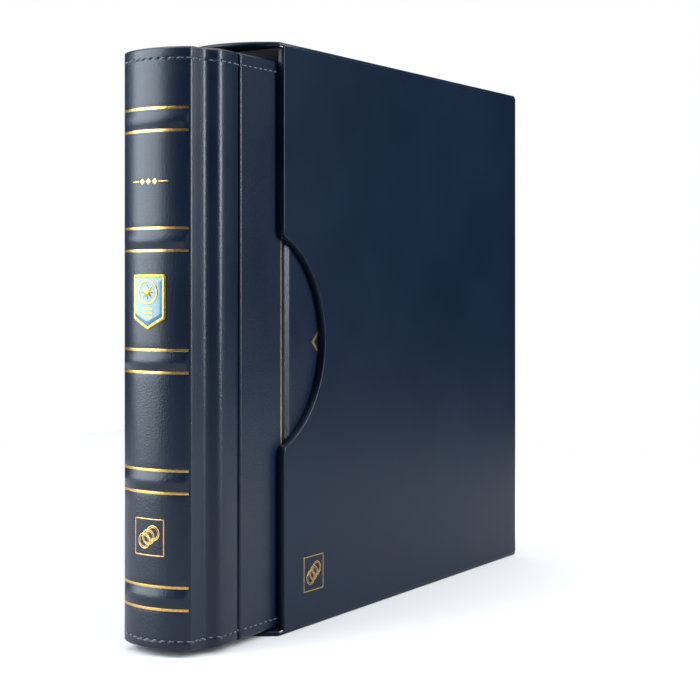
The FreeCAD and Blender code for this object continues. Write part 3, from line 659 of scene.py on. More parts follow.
@dataclass
class Stamp:
    """Lines and filled shapes laid on a surface, a hair proud of it."""

    surface: Surface
    height: float = 0.08
    sunk: float = 0.25
    shell: Shell = field(default_factory=Shell)

    def line(self, outline: Array, width: float, spacing: float = 1.2) -> None:
        """Closed line of one width along an outline, with its upper edges eased.

        Args:
            outline: Anticlockwise corners.
            width: Width of the line.
            spacing: Longest step along the line.
        """
        path = Outline.dense(outline, spacing)
        half = width / 2
        offsets = (-half, -half, -half * 0.6, half * 0.6, half, half)
        heights = (-self.sunk, self.height * 0.5, self.height, self.height, self.height * 0.5, -self.sunk)
        loops = [self.surface.at(Outline.moved(path, offset), np.full(len(path), height))
                 for offset, height in zip(offsets, heights)]
        self.shell.hoop(np.stack(loops, axis=1))

    def fill(self, outline: Array, height: float | None = None, ease: float = 0.15) -> None:
        """Filled shape with eased upper edges.

        Args:
            outline: Anticlockwise corners.
            height: Height of its top, or None for the stamp's own.
            ease: Width of the eased edge.
        """
        top = self.height if height is None else height
        rows = ((0.0, -self.sunk), (0.0, top * 0.5), (-ease, top))
        loops = [self.surface.at(Outline.moved(outline, offset), np.full(len(outline), level))
                 for offset, level in rows]
        self.shell.stack(np.stack(loops, axis=0))

    def drape(self, outline: Array, height: float, ease: float) -> None:
        """Filled shape that follows the surface, made of upright columns.

        Args:
            outline: Corners of a shape that each upright line crosses twice.
            height: Height of its top.
            ease: Width of the eased edge.
        """
        ends = np.roll(outline, -1, axis=0)
        run = ends[:, 0] - outline[:, 0]
        slanted = np.abs(run) > 1e-6
        start, run, rise = outline[slanted], run[slanted], (ends - outline)[slanted, 1]
        left, right = outline[:, 0].min() + 0.01, outline[:, 0].max() - 0.01
        columns = np.concatenate([[left], np.linspace(left + ease, right - ease, 41), [right]])
        share = (columns[:, None] - start[None, :, 0]) / run[None, :]
        crossed = (share >= 0.0) & (share <= 1.0)
        z = start[None, :, 1] + share * rise[None, :]
        low = np.where(crossed, z, np.inf).min(axis=1)
        high = np.where(crossed, z, -np.inf).max(axis=1)
        inset = np.minimum(ease, (high - low) * 0.45)
        inner = np.linspace(0.0, 1.0, 9)[None, :]
        rows = (low + inset)[:, None] * (1 - inner) + (high - inset)[:, None] * inner
        rows = np.hstack([low[:, None], low[:, None], rows, high[:, None], high[:, None]])
        top = np.full(len(columns), height)
        top[[0, -1]] = height * 0.5
        levels = np.repeat(top[:, None], rows.shape[1], axis=1)
        levels[:, [1, -2]] = height * 0.5
        levels[:, [0, -1]] = -self.sunk
        flat = np.dstack([np.broadcast_to(columns[:, None], rows.shape), rows])
        self.shell.tube(self.surface.at(flat, levels))

    def bar(self, start: tuple[float, float], end: tuple[float, float], width: float) -> None:
        """Straight line with square ends.

        Args:
            start: Middle of one end.
            end: Middle of the other.
            width: Width of the line.
        """
        count = max(2, int(math.dist(start, end) / 1.0) + 1)
        share = np.linspace(0.0, 1.0, count)[:, None]
        middle = np.array(start) * (1 - share) + np.array(end) * share
        along = (np.array(end) - np.array(start)) / math.dist(start, end)
        across = np.array([-along[1], along[0]]) * width / 2
        offsets = (-1.0, -1.0, -0.7, 0.7, 1.0, 1.0)
        heights = (-self.sunk, self.height * 0.5, self.height, self.height, self.height * 0.5, -self.sunk)
        loops = [self.surface.at(middle + across * offset, np.full(count, height))
                 for offset, height in zip(offsets, heights)]
        self.shell.tube(np.stack(loops, axis=1))


def coin_mark(stamp: Stamp, centre: tuple[float, float], size: float) -> None:
    """Square frame round three overlapping coin rings.

    Args:
        stamp: Stamp to draw with.
        centre: Middle of the mark.
        size: Side of its frame.
    """
    stamp.line(Outline.square(centre, size - 0.5), 0.5)
    for step in (-1, 0, 1):
        middle = (centre[0] + step * size * 0.15, centre[1] + step * size * 0.11)
        stamp.line(Outline.ring(middle, size * 0.20), 0.55, 9.0)
        stamp.line(Outline.ring(middle, size * 0.155), 0.3, 9.0)


# ---- slipcase -----------------------------------------------------------------------------------
@dataclass
class Slipcase:
    """Board case in leatherette, open at -Y, with a thumb notch in each side."""

    palette: Palette
    sheet: float = 1.0
    sheet_inset: float = 1.5
    wall_inner: float = 29.72
    notch_z: float = 163.0
    notch_half: float = 59.0
    notch_depth: float = 41.5
    notch_corner: float = 5.0
    plate: float = 3.0
    back_plate: float = 3.5
    tongue_reach: float = 15.5
    tongue_shoulder: float = 3.0
    plate_inset: float = 0.5
    foil_room: float = 0.08

    def __post_init__(self) -> None:
        """Take the case's place from the frame."""
        low, high = node_box("slipcase_front_leather")
        self.mouth = float(low[1])
        self.back = float(high[1])
        self.side = float(high[0])
        self.height = float(node_box("slipcase_edge_leather")[1][2])
        self.notch_radius = (self.notch_half ** 2 + self.notch_depth ** 2) / (2 * self.notch_depth)
        self.notch_centre = self.mouth + self.notch_depth - self.notch_radius

    def mouth_line(self, low: float, high: float) -> tuple[Array, Array]:
        """The mouth's edge from bottom to top, with the notch and its rounded shoulders.

        The notch is an arc about notch_centre. Each shoulder is an arc that touches the arc and the mouth.

        Args:
            low: First height.
            high: Last height.

        Returns:
            Points as y and z, and the unit direction into the wall at each.
        """
        reach = self.notch_radius + self.notch_corner
        shoulder_y = self.mouth + self.notch_corner
        rise = math.sqrt(reach ** 2 - (shoulder_y - self.notch_centre) ** 2)
        touch_turn = math.atan2(rise, shoulder_y - self.notch_centre)
        arc = np.linspace(-touch_turn, touch_turn, 110)
        arc_points = np.stack([self.notch_centre + self.notch_radius * np.cos(arc),
                               self.notch_z + self.notch_radius * np.sin(arc)], axis=1)
        arc_inward = np.stack([np.cos(arc), np.sin(arc)], axis=1)
        turn = np.linspace(math.pi, touch_turn + math.pi, 14)
        upper = np.stack([shoulder_y + self.notch_corner * np.cos(turn),
                          self.notch_z + rise + self.notch_corner * np.sin(turn)], axis=1)[::-1]
        upper_inward = -np.stack([np.cos(turn), np.sin(turn)], axis=1)[::-1]
        lower = upper[::-1] * (1, -1) + (0, 2 * self.notch_z)
        lower_inward = upper_inward[::-1] * (1, -1)
        ends = spaced(0.0, 1.0, 0.1, [(0.0, 0.012, 0.002)])
        bottom_z = low + (lower[0, 1] - low) * ends[:-1]
        top_z = high - (high - upper[-1, 1]) * ends[:-1][::-1]
        straight = np.array([1.0, 0.0])
        points = np.vstack([np.stack([np.full_like(bottom_z, self.mouth), bottom_z], axis=1), lower[:-1],
                            arc_points[:-1], upper,
                            np.stack([np.full_like(top_z, self.mouth), top_z], axis=1)])
        inward = np.vstack([np.tile(straight, (len(bottom_z), 1)), lower_inward[:-1], arc_inward[:-1],
                            upper_inward, np.tile(straight, (len(top_z), 1))])
        return points, inward

    def side_sheet(self, name: str, side: int, node: str) -> None:
        """Sheet over one side face, rounded along the mouth, the notch and its other edges.

        Each station of the mouth line carries a closed section: in along the wall to the back edge
        and out again, 1 mm thick. The ends of the section and of the sheet curl under.

        Args:
            name: Name of the piece.
            side: 1 for the front face, -1 for the rear one.
            node: Frame node that it stands for.
        """
        low = self.sheet_inset
        high = self.height - self.sheet_inset
        points, inward = self.mouth_line(low, high)
        back = self.back - self.sheet_inset
        roll = 0.95
        along, under = rounded_ends(roll, 6)
        from_mouth = np.concatenate([along[::-1] + 0.35, [1.8, 2.6, 4.0]])
        under_mouth = np.concatenate([under[::-1], [0.0, 0.0, 0.0]])
        to_back = np.linspace(0.0, 1.0, 40)[1:]
        edge = np.minimum(points[:, 1] - low, high - points[:, 1])
        curl = roll - np.sqrt(np.maximum(roll ** 2 - np.maximum(roll - edge, 0.0) ** 2, 0.0))
        near = points[:, None, :] + inward[:, None, :] * from_mouth[None, :, None]
        last = near[:, -1, :]
        z_back = points[:, 1]
        goal = np.stack([np.full(len(points), back - roll), z_back], axis=1)
        far = last[:, None, :] * (1 - to_back[None, :, None]) + goal[:, None, :] * to_back[None, :, None]
        round_back = np.stack([np.tile(back - along[1:], (len(points), 1)),
                               np.tile(z_back[:, None], (1, len(along) - 1))], axis=2)
        flat = np.concatenate([near, far, round_back], axis=1)
        flat[..., 1] = np.clip(flat[..., 1], low, high)
        depth = np.concatenate([under_mouth, np.zeros(len(to_back)), under[1:]])
        outer_x = self.side - np.minimum(self.foil_room + depth[None, :] + curl[:, None], self.sheet)
        inner_x = np.full((len(points), flat.shape[1]), self.side - self.sheet)
        outer = np.dstack([outer_x * side, flat[..., 0], flat[..., 1]])
        inner = np.dstack([inner_x * side, flat[..., 0], flat[..., 1]])[:, ::-1]
        shell = Shell()
        shell.tube(np.concatenate([outer, inner], axis=1))
        finish_piece(shell.build(name, 50.0), self.palette.case, "slipcase", (node,))

    def mouth_roll(self, name: str, side: int) -> None:
        """Turned-in edge of one side wall: a rounded strip along the mouth and the notch.

        Args:
            name: Name of the piece.
            side: 1 for the front wall, -1 for the rear one.
        """
        points, inward = self.mouth_line(self.plate - 0.2, self.height - self.plate + 0.2)
        outer_x = self.side - self.sheet + 0.15
        across = (outer_x - self.wall_inner) / 2
        middle = (outer_x + self.wall_inner) / 2
        turn = np.linspace(math.pi / 2, -math.pi / 2, 17)
        bulge = np.sign(np.sin(turn)) * np.abs(np.sin(turn)) ** 0.45 * across
        reach = 0.25 + 1.3 * (1.0 - np.abs(np.cos(turn)) ** 0.6)
        section_a = np.concatenate([[3.2], reach, [3.2]])
        section_x = np.concatenate([[middle + across], middle + bulge, [middle - across]])
        flat = points[:, None, :] + inward[:, None, :] * section_a[None, :, None]
        x = np.broadcast_to(section_x[None, :], flat.shape[:2]) * side
        shell = Shell()
        shell.tube(np.dstack([x, flat[..., 0], flat[..., 1]]))
        finish_piece(shell.build(name, 60.0), self.palette.case, "slipcase")

    def plan(self, inset: float) -> Array:
        """Outline of the top or bottom plate in plan, its front edge bowed out of the mouth.

        Args:
            inset: Distance in from the plate's edge.

        Returns:
            Points as x and y.
        """
        half = self.side - self.plate_inset
        shoulder = self.mouth - self.tongue_shoulder
        bow = self.tongue_reach - self.tongue_shoulder
        radius = (half ** 2 + bow ** 2) / (2 * bow)
        sweep = math.asin(half / radius)
        turn = np.linspace(-sweep, sweep, 41)
        front = np.stack([radius * np.sin(turn), shoulder - bow + radius * (1 - np.cos(turn))], axis=1)
        back = self.back - 0.1
        rear = np.array([(half, back - 2.4), (half - 0.8, back - 0.8), (half - 2.4, back),
                         (-half + 2.4, back), (-half + 0.8, back - 0.8), (-half, back - 2.4)])
        side_y = np.linspace(shoulder, back - 2.4, 12)[1:-1]
        right = np.stack([np.full_like(side_y, half), side_y], axis=1)
        outline = np.vstack([front, right, rear, right[::-1] * (-1, 1)])
        return Outline.moved(outline, -inset)

    def edge_plate(self, name: str, low: float, high: float) -> None:
        """Top or bottom plate with a rounded rim.

        Args:
            name: Name of the piece.
            low: Height of its lower face.
            high: Height of its upper face.
        """
        radius = min(1.5, (high - low) / 2)
        middle = (low + high) / 2
        turn = np.linspace(-math.pi / 2, math.pi / 2, 13)
        loops = []
        for angle in turn:
            outline = self.plan(radius * (1 - math.cos(angle)))
            height = middle + (high - low) / 2 * math.sin(angle)
            loops.append(np.column_stack([outline, np.full(len(outline), height)]))
        shell = Shell()
        shell.stack(np.stack(loops, axis=0))
        nodes = ("slipcase_edge_leather",) if low < self.plate else ()
        finish_piece(shell.build(name, 50.0), self.palette.case, "slipcase", nodes)

    def back_sheet(self) -> None:
        """Back plate between the top and bottom plates, its upright edges rounded."""
        half = self.side - self.plate_inset
        front = self.back - self.back_plate + 0.15
        radius = 1.5
        turn = np.linspace(0.0, math.pi / 2, 9)
        curve = np.stack([half - radius + radius * np.sin(turn),
                          self.back - radius + radius * np.cos(turn)], axis=1)
        side = np.vstack([[[0.0, self.back]], curve, [[half, front]]])
        plan = np.vstack([side, side[::-1] * (-1, 1)])
        heights = (self.plate - 0.6, self.plate + 0.2, self.height / 2, self.height - self.plate - 0.2,
                   self.height - self.plate + 0.6)
        shell = Shell()
        shell.stack(np.stack([np.column_stack([plan, np.full(len(plan), z)]) for z in heights], axis=0))
        piece = shell.build("slipcase_back_sheet", 50.0)
        finish_piece(piece, self.palette.case, "slipcase")

    def mark(self) -> None:
        """Foil mark low on the front face, near the mouth."""
        low, high = node_box("slipcase_mark")
        stamp = Stamp(FlatSide(self.side - self.foil_room), 0.06)
        coin_mark(stamp, ((low[1] + high[1]) / 2, (low[2] + high[2]) / 2), float(high[2] - low[2]))
        finish_piece(stamp.shell.build("slipcase_coin_mark"), self.palette.foil, "slipcase",
                     ("slipcase_mark",))

    def build(self) -> None:
        """Make every piece of the slipcase."""
        self.side_sheet("slipcase_front_sheet", 1, "slipcase_front_leather")
        self.side_sheet("slipcase_rear_sheet", -1, "slipcase_rear_leather")
        self.mouth_roll("slipcase_front_mouth_roll", 1)
        self.mouth_roll("slipcase_rear_mouth_roll", -1)
        self.edge_plate("slipcase_bottom_plate", 0.0, self.plate - 0.15)
        self.edge_plate("slipcase_top_plate", self.height - self.plate + 0.15, self.height)
        self.back_sheet()
        self.mark()


# ---- album case ---------------------------------------------------------------------------------
@dataclass
class AlbumCase:
    """Padded album cover with a rounded spine, raised bands, foil, shield and stitching."""

    palette: Palette
    spine_half: float = 22.7
    spine_depth: float = 7.0
    thickness: float = 3.87
    edge_round: float = 1.7
    band_rise: float = 1.0
    band_half: float = 4.8
    line_offset: float = 5.9
    line_width: float = 1.4
    stitch_pitch: float = 4.7
    stitch_length: float = 3.2
    stitch_thick: float = 0.42
    top_inset: float = 6.5
    bottom_inset: float = 5.5
    seam_run: float = 35.0
    inner_depth: float = 4.65
    inner_corner: float = 19.2
    middle_bands: tuple[float, ...] = (92.0, 155.0, 219.0)
    joint_points: tuple[tuple[float, float], ...] = (
        (22.4, 0.0), (22.75, 0.6), (22.95, 2.0), (23.2, 5.0), (23.4, 8.0), (23.75, 10.6), (24.9, 12.6),
        (26.6, 14.5), (28.1, 16.3), (28.95, 18.2), (29.2, 20.5), (29.2, 24.0), (29.05, 28.0), (28.7, 31.5),
        (28.1, 33.6), (27.5, 34.6), (27.2, 35.1))

    def __post_init__(self) -> None:
        """Take the album's place from the frame."""
        low, high = node_box("album_leather")
        self.low = float(low[2])
        self.top = float(high[2])
        self.fore = float(high[1])
        self.apex = float(low[1]) + self.band_rise
        self.radius = (self.spine_half ** 2 + self.spine_depth ** 2) / (2 * self.spine_depth)
        self.centre_y = self.apex + self.radius
        self.crease = self.apex + self.spine_depth
        self.middle = (self.low + self.top) / 2
        lines = node_box("spine_gold_lines")
        reach = self.line_offset + self.line_width / 2
        self.bands = np.array([lines[0][2] + reach, *self.middle_bands, lines[1][2] - reach])
        self.spine = RoundSpine(self.radius, self.centre_y)
        self.stitch_heights = (self.top - self.top_inset, self.low + self.bottom_inset)
        self.mouth = float(node_box("slipcase_front_leather")[0][1])
        self.cover_x = float(node_box("cover_gold_frame")[0][0])

    # -- outline of the spine and joints --
    def spine_outline(self) -> tuple[Array, Array, Array]:
        """Outer line of the spine and both joints, from the rear seam to the front one.

        The spine is an arc. Each joint is a smooth curve through joint_points.

        Returns:
            Points as x and y, unit outward normals, and the distance run from the spine's middle.
        """
        sweep = math.asin((self.spine_half - 0.1) / self.radius)
        turn = np.linspace(-sweep, sweep, 93)
        arc = np.stack([self.radius * np.sin(turn), self.centre_y - self.radius * np.cos(turn)], axis=1)
        crease = 0.5 * np.exp(-((sweep - np.abs(turn)) * self.radius / 1.3) ** 2)
        arc -= np.stack([np.sin(turn), -np.cos(turn)], axis=1) * crease[:, None]
        control = np.array(self.joint_points) + (0.0, self.crease)
        joint = self.through(control, 74)[1:]
        line = np.vstack([joint[::-1] * (-1, 1), arc, joint])
        tangent = np.gradient(line, axis=0)
        tangent /= np.linalg.norm(tangent, axis=1, keepdims=True)
        normal = np.stack([tangent[:, 1], -tangent[:, 0]], axis=1)
        run = np.concatenate([[0.0], np.cumsum(np.linalg.norm(np.diff(line, axis=0), axis=1))])
        return line, normal, run - run[-1] / 2

    @staticmethod
    def through(control: Array, count: int) -> Array:
        """Catmull-Rom curve through control points, evenly spaced.

        Args:
            control: Points to pass through.
            count: Number of points wanted.

        Returns:
            Points on the curve.
        """
        padded = np.vstack([2 * control[0] - control[1], control, 2 * control[-1] - control[-2]])
        share = np.linspace(0.0, 1.0, 24, endpoint=False)[None, :, None]
        a, b, c, d = (padded[i:len(padded) - 3 + i][:, None, :] for i in range(4))
        curve = 0.5 * (2 * b + (c - a) * share + (2 * a - 5 * b + 4 * c - d) * share ** 2
                       + (3 * b - a - 3 * c + d) * share ** 3)
        curve = np.vstack([curve.reshape(-1, 2), control[-1:]])
        run = np.concatenate([[0.0], np.cumsum(np.linalg.norm(np.diff(curve, axis=0), axis=1))])
        wanted = np.linspace(0.0, run[-1], count)
        return np.stack([np.interp(wanted, run, curve[:, 0]), np.interp(wanted, run, curve[:, 1])], axis=1)

    def section_loop(self, heights: Array) -> tuple[Array, Array]:
        """Closed upright section: up the outer face, over the top edge, down inside and under.

        Args:
            heights: Heights of the outer face's rows.

        Returns:
            Share of the thickness and height of each point, where share 0 is the outer face.
        """
        along, under = rounded_ends(self.edge_round, 7)
        small_along, small_under = rounded_ends(0.5, 3)
        deep = self.thickness
        inside = np.linspace(self.top - 0.5, self.low + 0.5, 30)
        share = np.concatenate([np.zeros(len(heights)), under[1:] / deep,
                                1 - small_under[::-1] / deep, np.ones(len(inside) - 2),
                                1 - small_under / deep, under[:0:-1] / deep])
        height = np.concatenate([heights, self.top - along[1:], self.top - small_along[::-1], inside[1:-1],
                                 self.low + small_along, self.low + along[:0:-1]])
        return share, height

    def stitch_dip(self, run: Array, height: Array) -> Array:
        """Depth that the stitch rows pull the leather in: a narrow channel with a dimple at each hole.

        Args:
            run: Distance along the edge.
            height: Height.

        Returns:
            Depth in millimetres.
        """
        total = np.zeros(np.broadcast(run, height).shape)
        for row in self.stitch_heights:
            away = (height - row) / 0.62
            hole = 0.5 + 0.5 * np.cos(2 * math.pi * (run / self.stitch_pitch + 0.5))
            total = total + np.exp(-away ** 2) * (0.12 + 0.34 * hole ** 4)
        return total

    def spine_relief(self, run: Array, height: Array) -> Array:
        """How far the spine's face stands out: raised bands, with the leather tucked beside them.

        Args:
            run: Distance round from the spine's middle.
            height: Height.

        Returns:
            Height over the round face in millimetres.
        """
        fade = smooth_step((self.spine_half + 0.9 - np.abs(run)) / 4.0)
        total = np.zeros(np.broadcast(run, height).shape)
        for band in self.bands:
            away = np.abs(height - band)
            bulge = np.cos(np.clip(away / self.band_half, 0.0, 1.0) * math.pi / 2) ** 1.3
            tuck = 0.22 * np.exp(-((away - self.line_offset) / 0.9) ** 2)
            total = total + fade * (self.band_rise * 0.97 * bulge - tuck)
        return total

    def spine_leather(self) -> None:
        """Spine and both joints in one closed piece."""
        fine = [(float(z), 7.4, 0.62) for z in self.bands] + [(z, 1.8, 0.3) for z in self.stitch_heights]
        heights = spaced(self.low + self.edge_round, self.top - self.edge_round, 3.4, fine)
        share, height = self.section_loop(heights)
        line, normal, run = self.spine_outline()
        inner = self.inner_line(line, normal, run)
        face = np.clip(1.0 - share * self.thickness / self.edge_round, 0.0, 1.0)
        place = (run[:, None], height[None, :])
        lift = self.spine_relief(*place) - self.stitch_dip(*place)
        outer = line[:, None, :] + normal[:, None, :] * (lift * face[None, :])[..., None]
        flat = outer * (1 - share[None, :, None]) + inner[:, None, :] * share[None, :, None]
        points = np.dstack([flat, np.broadcast_to(height[None, :], flat.shape[:2])])
        shell = Shell()
        shell.tube(points)
        finish_piece(shell.build("spine_leather", 55.0), self.palette.spine, "album",
                     ("album_leather", "raised_bands"))

    def inner_line(self, line: Array, normal: Array, run: Array) -> Array:
        """Inner line of the spine piece: behind the joints, and straight behind the spine.

        Args:
            line: Outer line.
            normal: Its normals.
            run: Distance from the spine's middle.

        Returns:
            Points as x and y.
        """
        flat_y = self.crease + self.inner_depth
        inner = line - normal * self.thickness
        behind = line[:, 1] > flat_y
        corner = self.inner_corner
        inner_spine = np.stack([np.clip(line[:, 0] / (self.spine_half + 1.2), -1, 1) * corner,
                                np.full(len(line), flat_y)], axis=1)
        inner[:, 1] = np.maximum(inner[:, 1], flat_y)
        sign = np.sign(line[:, 0])
        inner[:, 0] = np.where(behind, sign * np.maximum(np.abs(inner[:, 0]), corner), inner[:, 0])
        return np.where(behind[:, None], inner, inner_spine)

    # -- covers --
    def cover_relief(self, y: Array, z: Array) -> Array:
        """How far a cover's face stands out: a groove inside the foil frame, then a padded panel.

        Args:
            y: Place along the cover.
            z: Height.

        Returns:
            Height over the cover's face in millimetres.
        """
        inside = np.minimum(np.minimum(y - (self.mouth + 4.5), (self.fore - 12.0) - y),
                            np.minimum(z - (self.low + 12.0), (self.top - 12.0) - z))
        groove = -0.75 * np.exp(-((inside - 4.4) / 1.5) ** 2)
        panel = 0.5 * smooth_step((inside - 5.6) / 2.6)
        return groove + panel

    def cover_leather(self, name: str, side: int, node: str) -> None:
        """One padded cover from its seam in the joint's groove to the fore edge.

        Args:
            name: Name of the piece.
            side: 1 for the front cover, -1 for the rear one.
            node: Frame node that it stands for.
        """
        start = self.crease + self.seam_run
        near = self.mouth + 9.0
        y = spaced(start, self.fore, 3.2, [(start, 3.0, 0.35), (near, 7.0, 0.6), (self.fore, 3.0, 0.35),
                                           (self.fore - 17.0, 6.0, 0.7)])
        fine = [(self.low + 16.5, 6.0, 0.8), (self.top - 16.5, 6.0, 0.8)]
        fine += [(z, 1.8, 0.3) for z in self.stitch_heights]
        heights = spaced(self.low + self.edge_round, self.top - self.edge_round, 5.0, fine)
        share, height = self.section_loop(heights)
        roll = 1.6
        to_end = np.minimum(y - start, self.fore - y)
        curl = roll - np.sqrt(np.maximum(roll ** 2 - np.maximum(roll - to_end, 0.0) ** 2, 0.0))
        fore_curl = np.where(y > near, curl, 0.0)
        squeeze = (self.top - self.low - 2 * fore_curl) / (self.top - self.low)
        z = self.middle + (height[None, :] - self.middle) * squeeze[:, None]
        run = (y - start)[:, None]
        relief = self.cover_relief(y[:, None], height[None, :]) - self.stitch_dip(run, height[None, :])
        face = np.clip(1.0 - share * self.thickness / self.edge_round, 0.0, 1.0)
        outer_x = self.cover_x + relief * face[None, :] - curl[:, None]
        inner_x = np.full(len(y), self.cover_x - self.thickness)[:, None] + fore_curl[:, None] * 0.4
        x = outer_x * (1 - share[None, :]) + inner_x * share[None, :]
        shell = Shell()
        shell.tube(np.dstack([x * side, np.broadcast_to(y[:, None], x.shape), z]))
        piece = finish_piece(shell.build(name, 55.0), self.palette.spine, "album", (node,))

    # -- foil --
    def gold_lines(self) -> None:
        """Two foil lines across the spine beside each band, square ended."""
        stamp = Stamp(self.spine, 0.04, 0.5)
        reach = self.spine_half - 0.8
        for band in self.bands:
            for sign in (-1, 1):
                z = float(band) + sign * self.line_offset
                stamp.bar((-reach, z), (reach, z), self.line_width)
        finish_piece(stamp.shell.build("spine_foil_lines"), self.palette.foil, "album",
                     ("spine_gold_lines",))

    def spine_ornaments(self) -> None:
        """Lozenge row near the top of the spine and the coin mark near its foot."""
        low, high = node_box("spine_ornament")
        z = float(low[2] + high[2]) / 2
        stamp = Stamp(self.spine, 0.06)
        for x in (-4.2, 0.0, 4.2):
            stamp.fill(Outline.lozenge((x, z), 1.6, 1.6))
        for sign in (-1, 1):
            stamp.bar((sign * 6.6, z), (sign * 12.0, z), 0.6)
        finish_piece(stamp.shell.build("spine_lozenge_row"), self.palette.foil, "album",
                     ("spine_ornament",))
        low, high = node_box("spine_mark")
        stamp = Stamp(self.spine, 0.06)
        coin_mark(stamp, (0.0, float(low[2] + high[2]) / 2), float(high[2] - low[2]))
        finish_piece(stamp.shell.build("spine_coin_mark"), self.palette.foil, "album",
                     ("spine_mark",))

    def cover_foil(self) -> None:
        """Frame line and lozenge ornament on the front cover."""
        near, far = self.mouth + 4.5, self.fore - 12.0
        low, high = self.low + 12.0, self.top - 12.0
        stamp = Stamp(FlatSide(self.cover_x), 0.06, 0.5)
        stamp.line(np.array([(near + 0.5, low + 0.5), (far - 0.5, low + 0.5), (far - 0.5, high - 0.5),
                             (near + 0.5, high - 0.5)]), 1.0, 400.0)
        finish_piece(stamp.shell.build("cover_foil_frame"), self.palette.foil, "album",
                     ("cover_gold_frame",))
        middle = ((near + far) / 2, self.middle)
        half = middle[0] - (self.mouth + 35.0)
        stamp = Stamp(FlatSide(self.cover_x + 0.5), 0.06, 0.6)
        for scale in (1.0, 0.88):
            size = half * scale - 1.2
            stamp.line(Outline.lozenge(middle, size, size), 2.4 * scale * 0.7, 400.0)
        stamp.line(Outline.star(middle, 34.0, 14.0, 8), 1.6, 400.0)
        stamp.fill(Outline.star(middle, 28.0, 11.0, 8))
        finish_piece(stamp.shell.build("cover_foil_star"), self.palette.foil, "album",
                     ("cover_ornament",))

    # -- shield --
    def shield_outline(self, width: float, height: float, centre: float) -> Array:
        """Shield with a straight top and sides and a pointed foot, its corners eased.

        Args:
            width: Width.
            height: Height.
            centre: Height of its middle.

        Returns:
            Anticlockwise points as x and z.
        """
        half = width / 2
        turn = -height * 0.3
        corners = np.array([(0.0, -height / 2), (half, turn), (half, height / 2), (-half, height / 2),
                            (-half, turn)]) + (0.0, centre)
        return Outline.dense(Outline.rounded(corners, 1.0), 1.0)

    def shield(self) -> None:
        """Enamelled metal shield: gilt plate and rim, blue field, and a star over a stack of coins."""
        low, high = node_box("shield_plate")
        centre = float(low[2] + high[2]) / 2
        width = float(high[0] - low[0])
        height = float(high[2] - low[2])
        outline = self.shield_outline(width, height, centre)
        plate = Stamp(self.spine, 0.42, 0.3)
        plate.drape(outline, 0.42, 0.3)
        rim = Outline.moved(outline, -0.75)
        self.round_line(plate, rim, 0.85, 0.36, 0.42)
        finish_piece(plate.shell.build("shield_gilt_plate", 50.0), self.palette.gilt, "album",
                     ("shield_plate",))
        enamel = Stamp(self.spine, 0.5, -0.2)
        enamel.drape(Outline.moved(outline, -1.0), 0.58, 0.4)
        finish_piece(enamel.shell.build("shield_blue_field", 50.0), self.palette.enamel, "album",
                     ("shield_enamel",))
        relief = Stamp(self.spine, 0.9, -0.3)
        relief.fill(Outline.star((0.0, centre + 5.2), 4.6, 2.0, 8), 0.95, 0.5)
        self.round_line(relief, Outline.ring((0.0, centre + 5.2), 6.0, 48), 0.55, 0.36, 0.5)
        for step in range(3):
            level = centre - 3.4 - 2.2 * step
            low_edge, high_edge = level - 0.75, level + 0.75
            coin = np.array([(-3.6, low_edge), (3.6, low_edge), (3.6, high_edge), (-3.6, high_edge)])
            relief.fill(Outline.rounded(coin, 0.6), 0.86, 0.35)
        finish_piece(relief.shell.build("shield_relief", 50.0), self.palette.gilt, "album")

    @staticmethod
    def round_line(stamp: Stamp, outline: Array, half: float, rise: float, base: float) -> None:
        """Closed rib with a round back.

        Args:
            stamp: Stamp to draw with.
            outline: Anticlockwise path of the rib's middle.
            half: Half its width.
            rise: Height of its back over the base.
            base: Height of its foot over the surface.
        """
        turn = np.linspace(math.pi, 0.0, 9)
        offsets = np.concatenate([np.cos(turn) * half, [half, -half]])
        heights = np.concatenate([base + np.sin(turn) * rise, [base - 0.15, base - 0.15]])
        loops = [stamp.surface.at(Outline.moved(outline, offset), np.full(len(outline), height))
                 for offset, height in zip(offsets, heights)]
        stamp.shell.hoop(np.stack(loops, axis=1))

    # -- stitching --
    def stitch_stations(self) -> tuple[Array, Array]:
        """Middle and direction of each stitch round the album's edge.

        Returns:
            Points as x and y on the leather, and unit directions along it.
        """
        line, _, run = self.spine_outline()
        count = int(run[-1] / self.stitch_pitch)
        places = np.arange(-count, count + 1) * self.stitch_pitch
        limit = self.cover_x + 0.05
        across = np.clip(np.interp(places, run, line[:, 0]), -limit, limit)
        spine = np.stack([across, np.interp(places, run, line[:, 1])], axis=1)
        reach = 0.8
        ahead, behind = (np.stack([np.interp(places + step, run, line[:, 0]),
                                   np.interp(places + step, run, line[:, 1])], axis=1)
                         for step in (reach, -reach))
        y = np.arange(self.crease + self.seam_run + self.stitch_pitch, self.fore - 5.0, self.stitch_pitch)
        cover = np.stack([np.full_like(y, self.cover_x), y], axis=1)
        points = np.vstack([spine, cover, cover * (-1, 1)])
        upward = np.tile((0.0, 1.0), (len(y), 1))
        along = np.vstack([ahead - behind, upward, -upward])
        return points, along / np.linalg.norm(along, axis=1, keepdims=True)

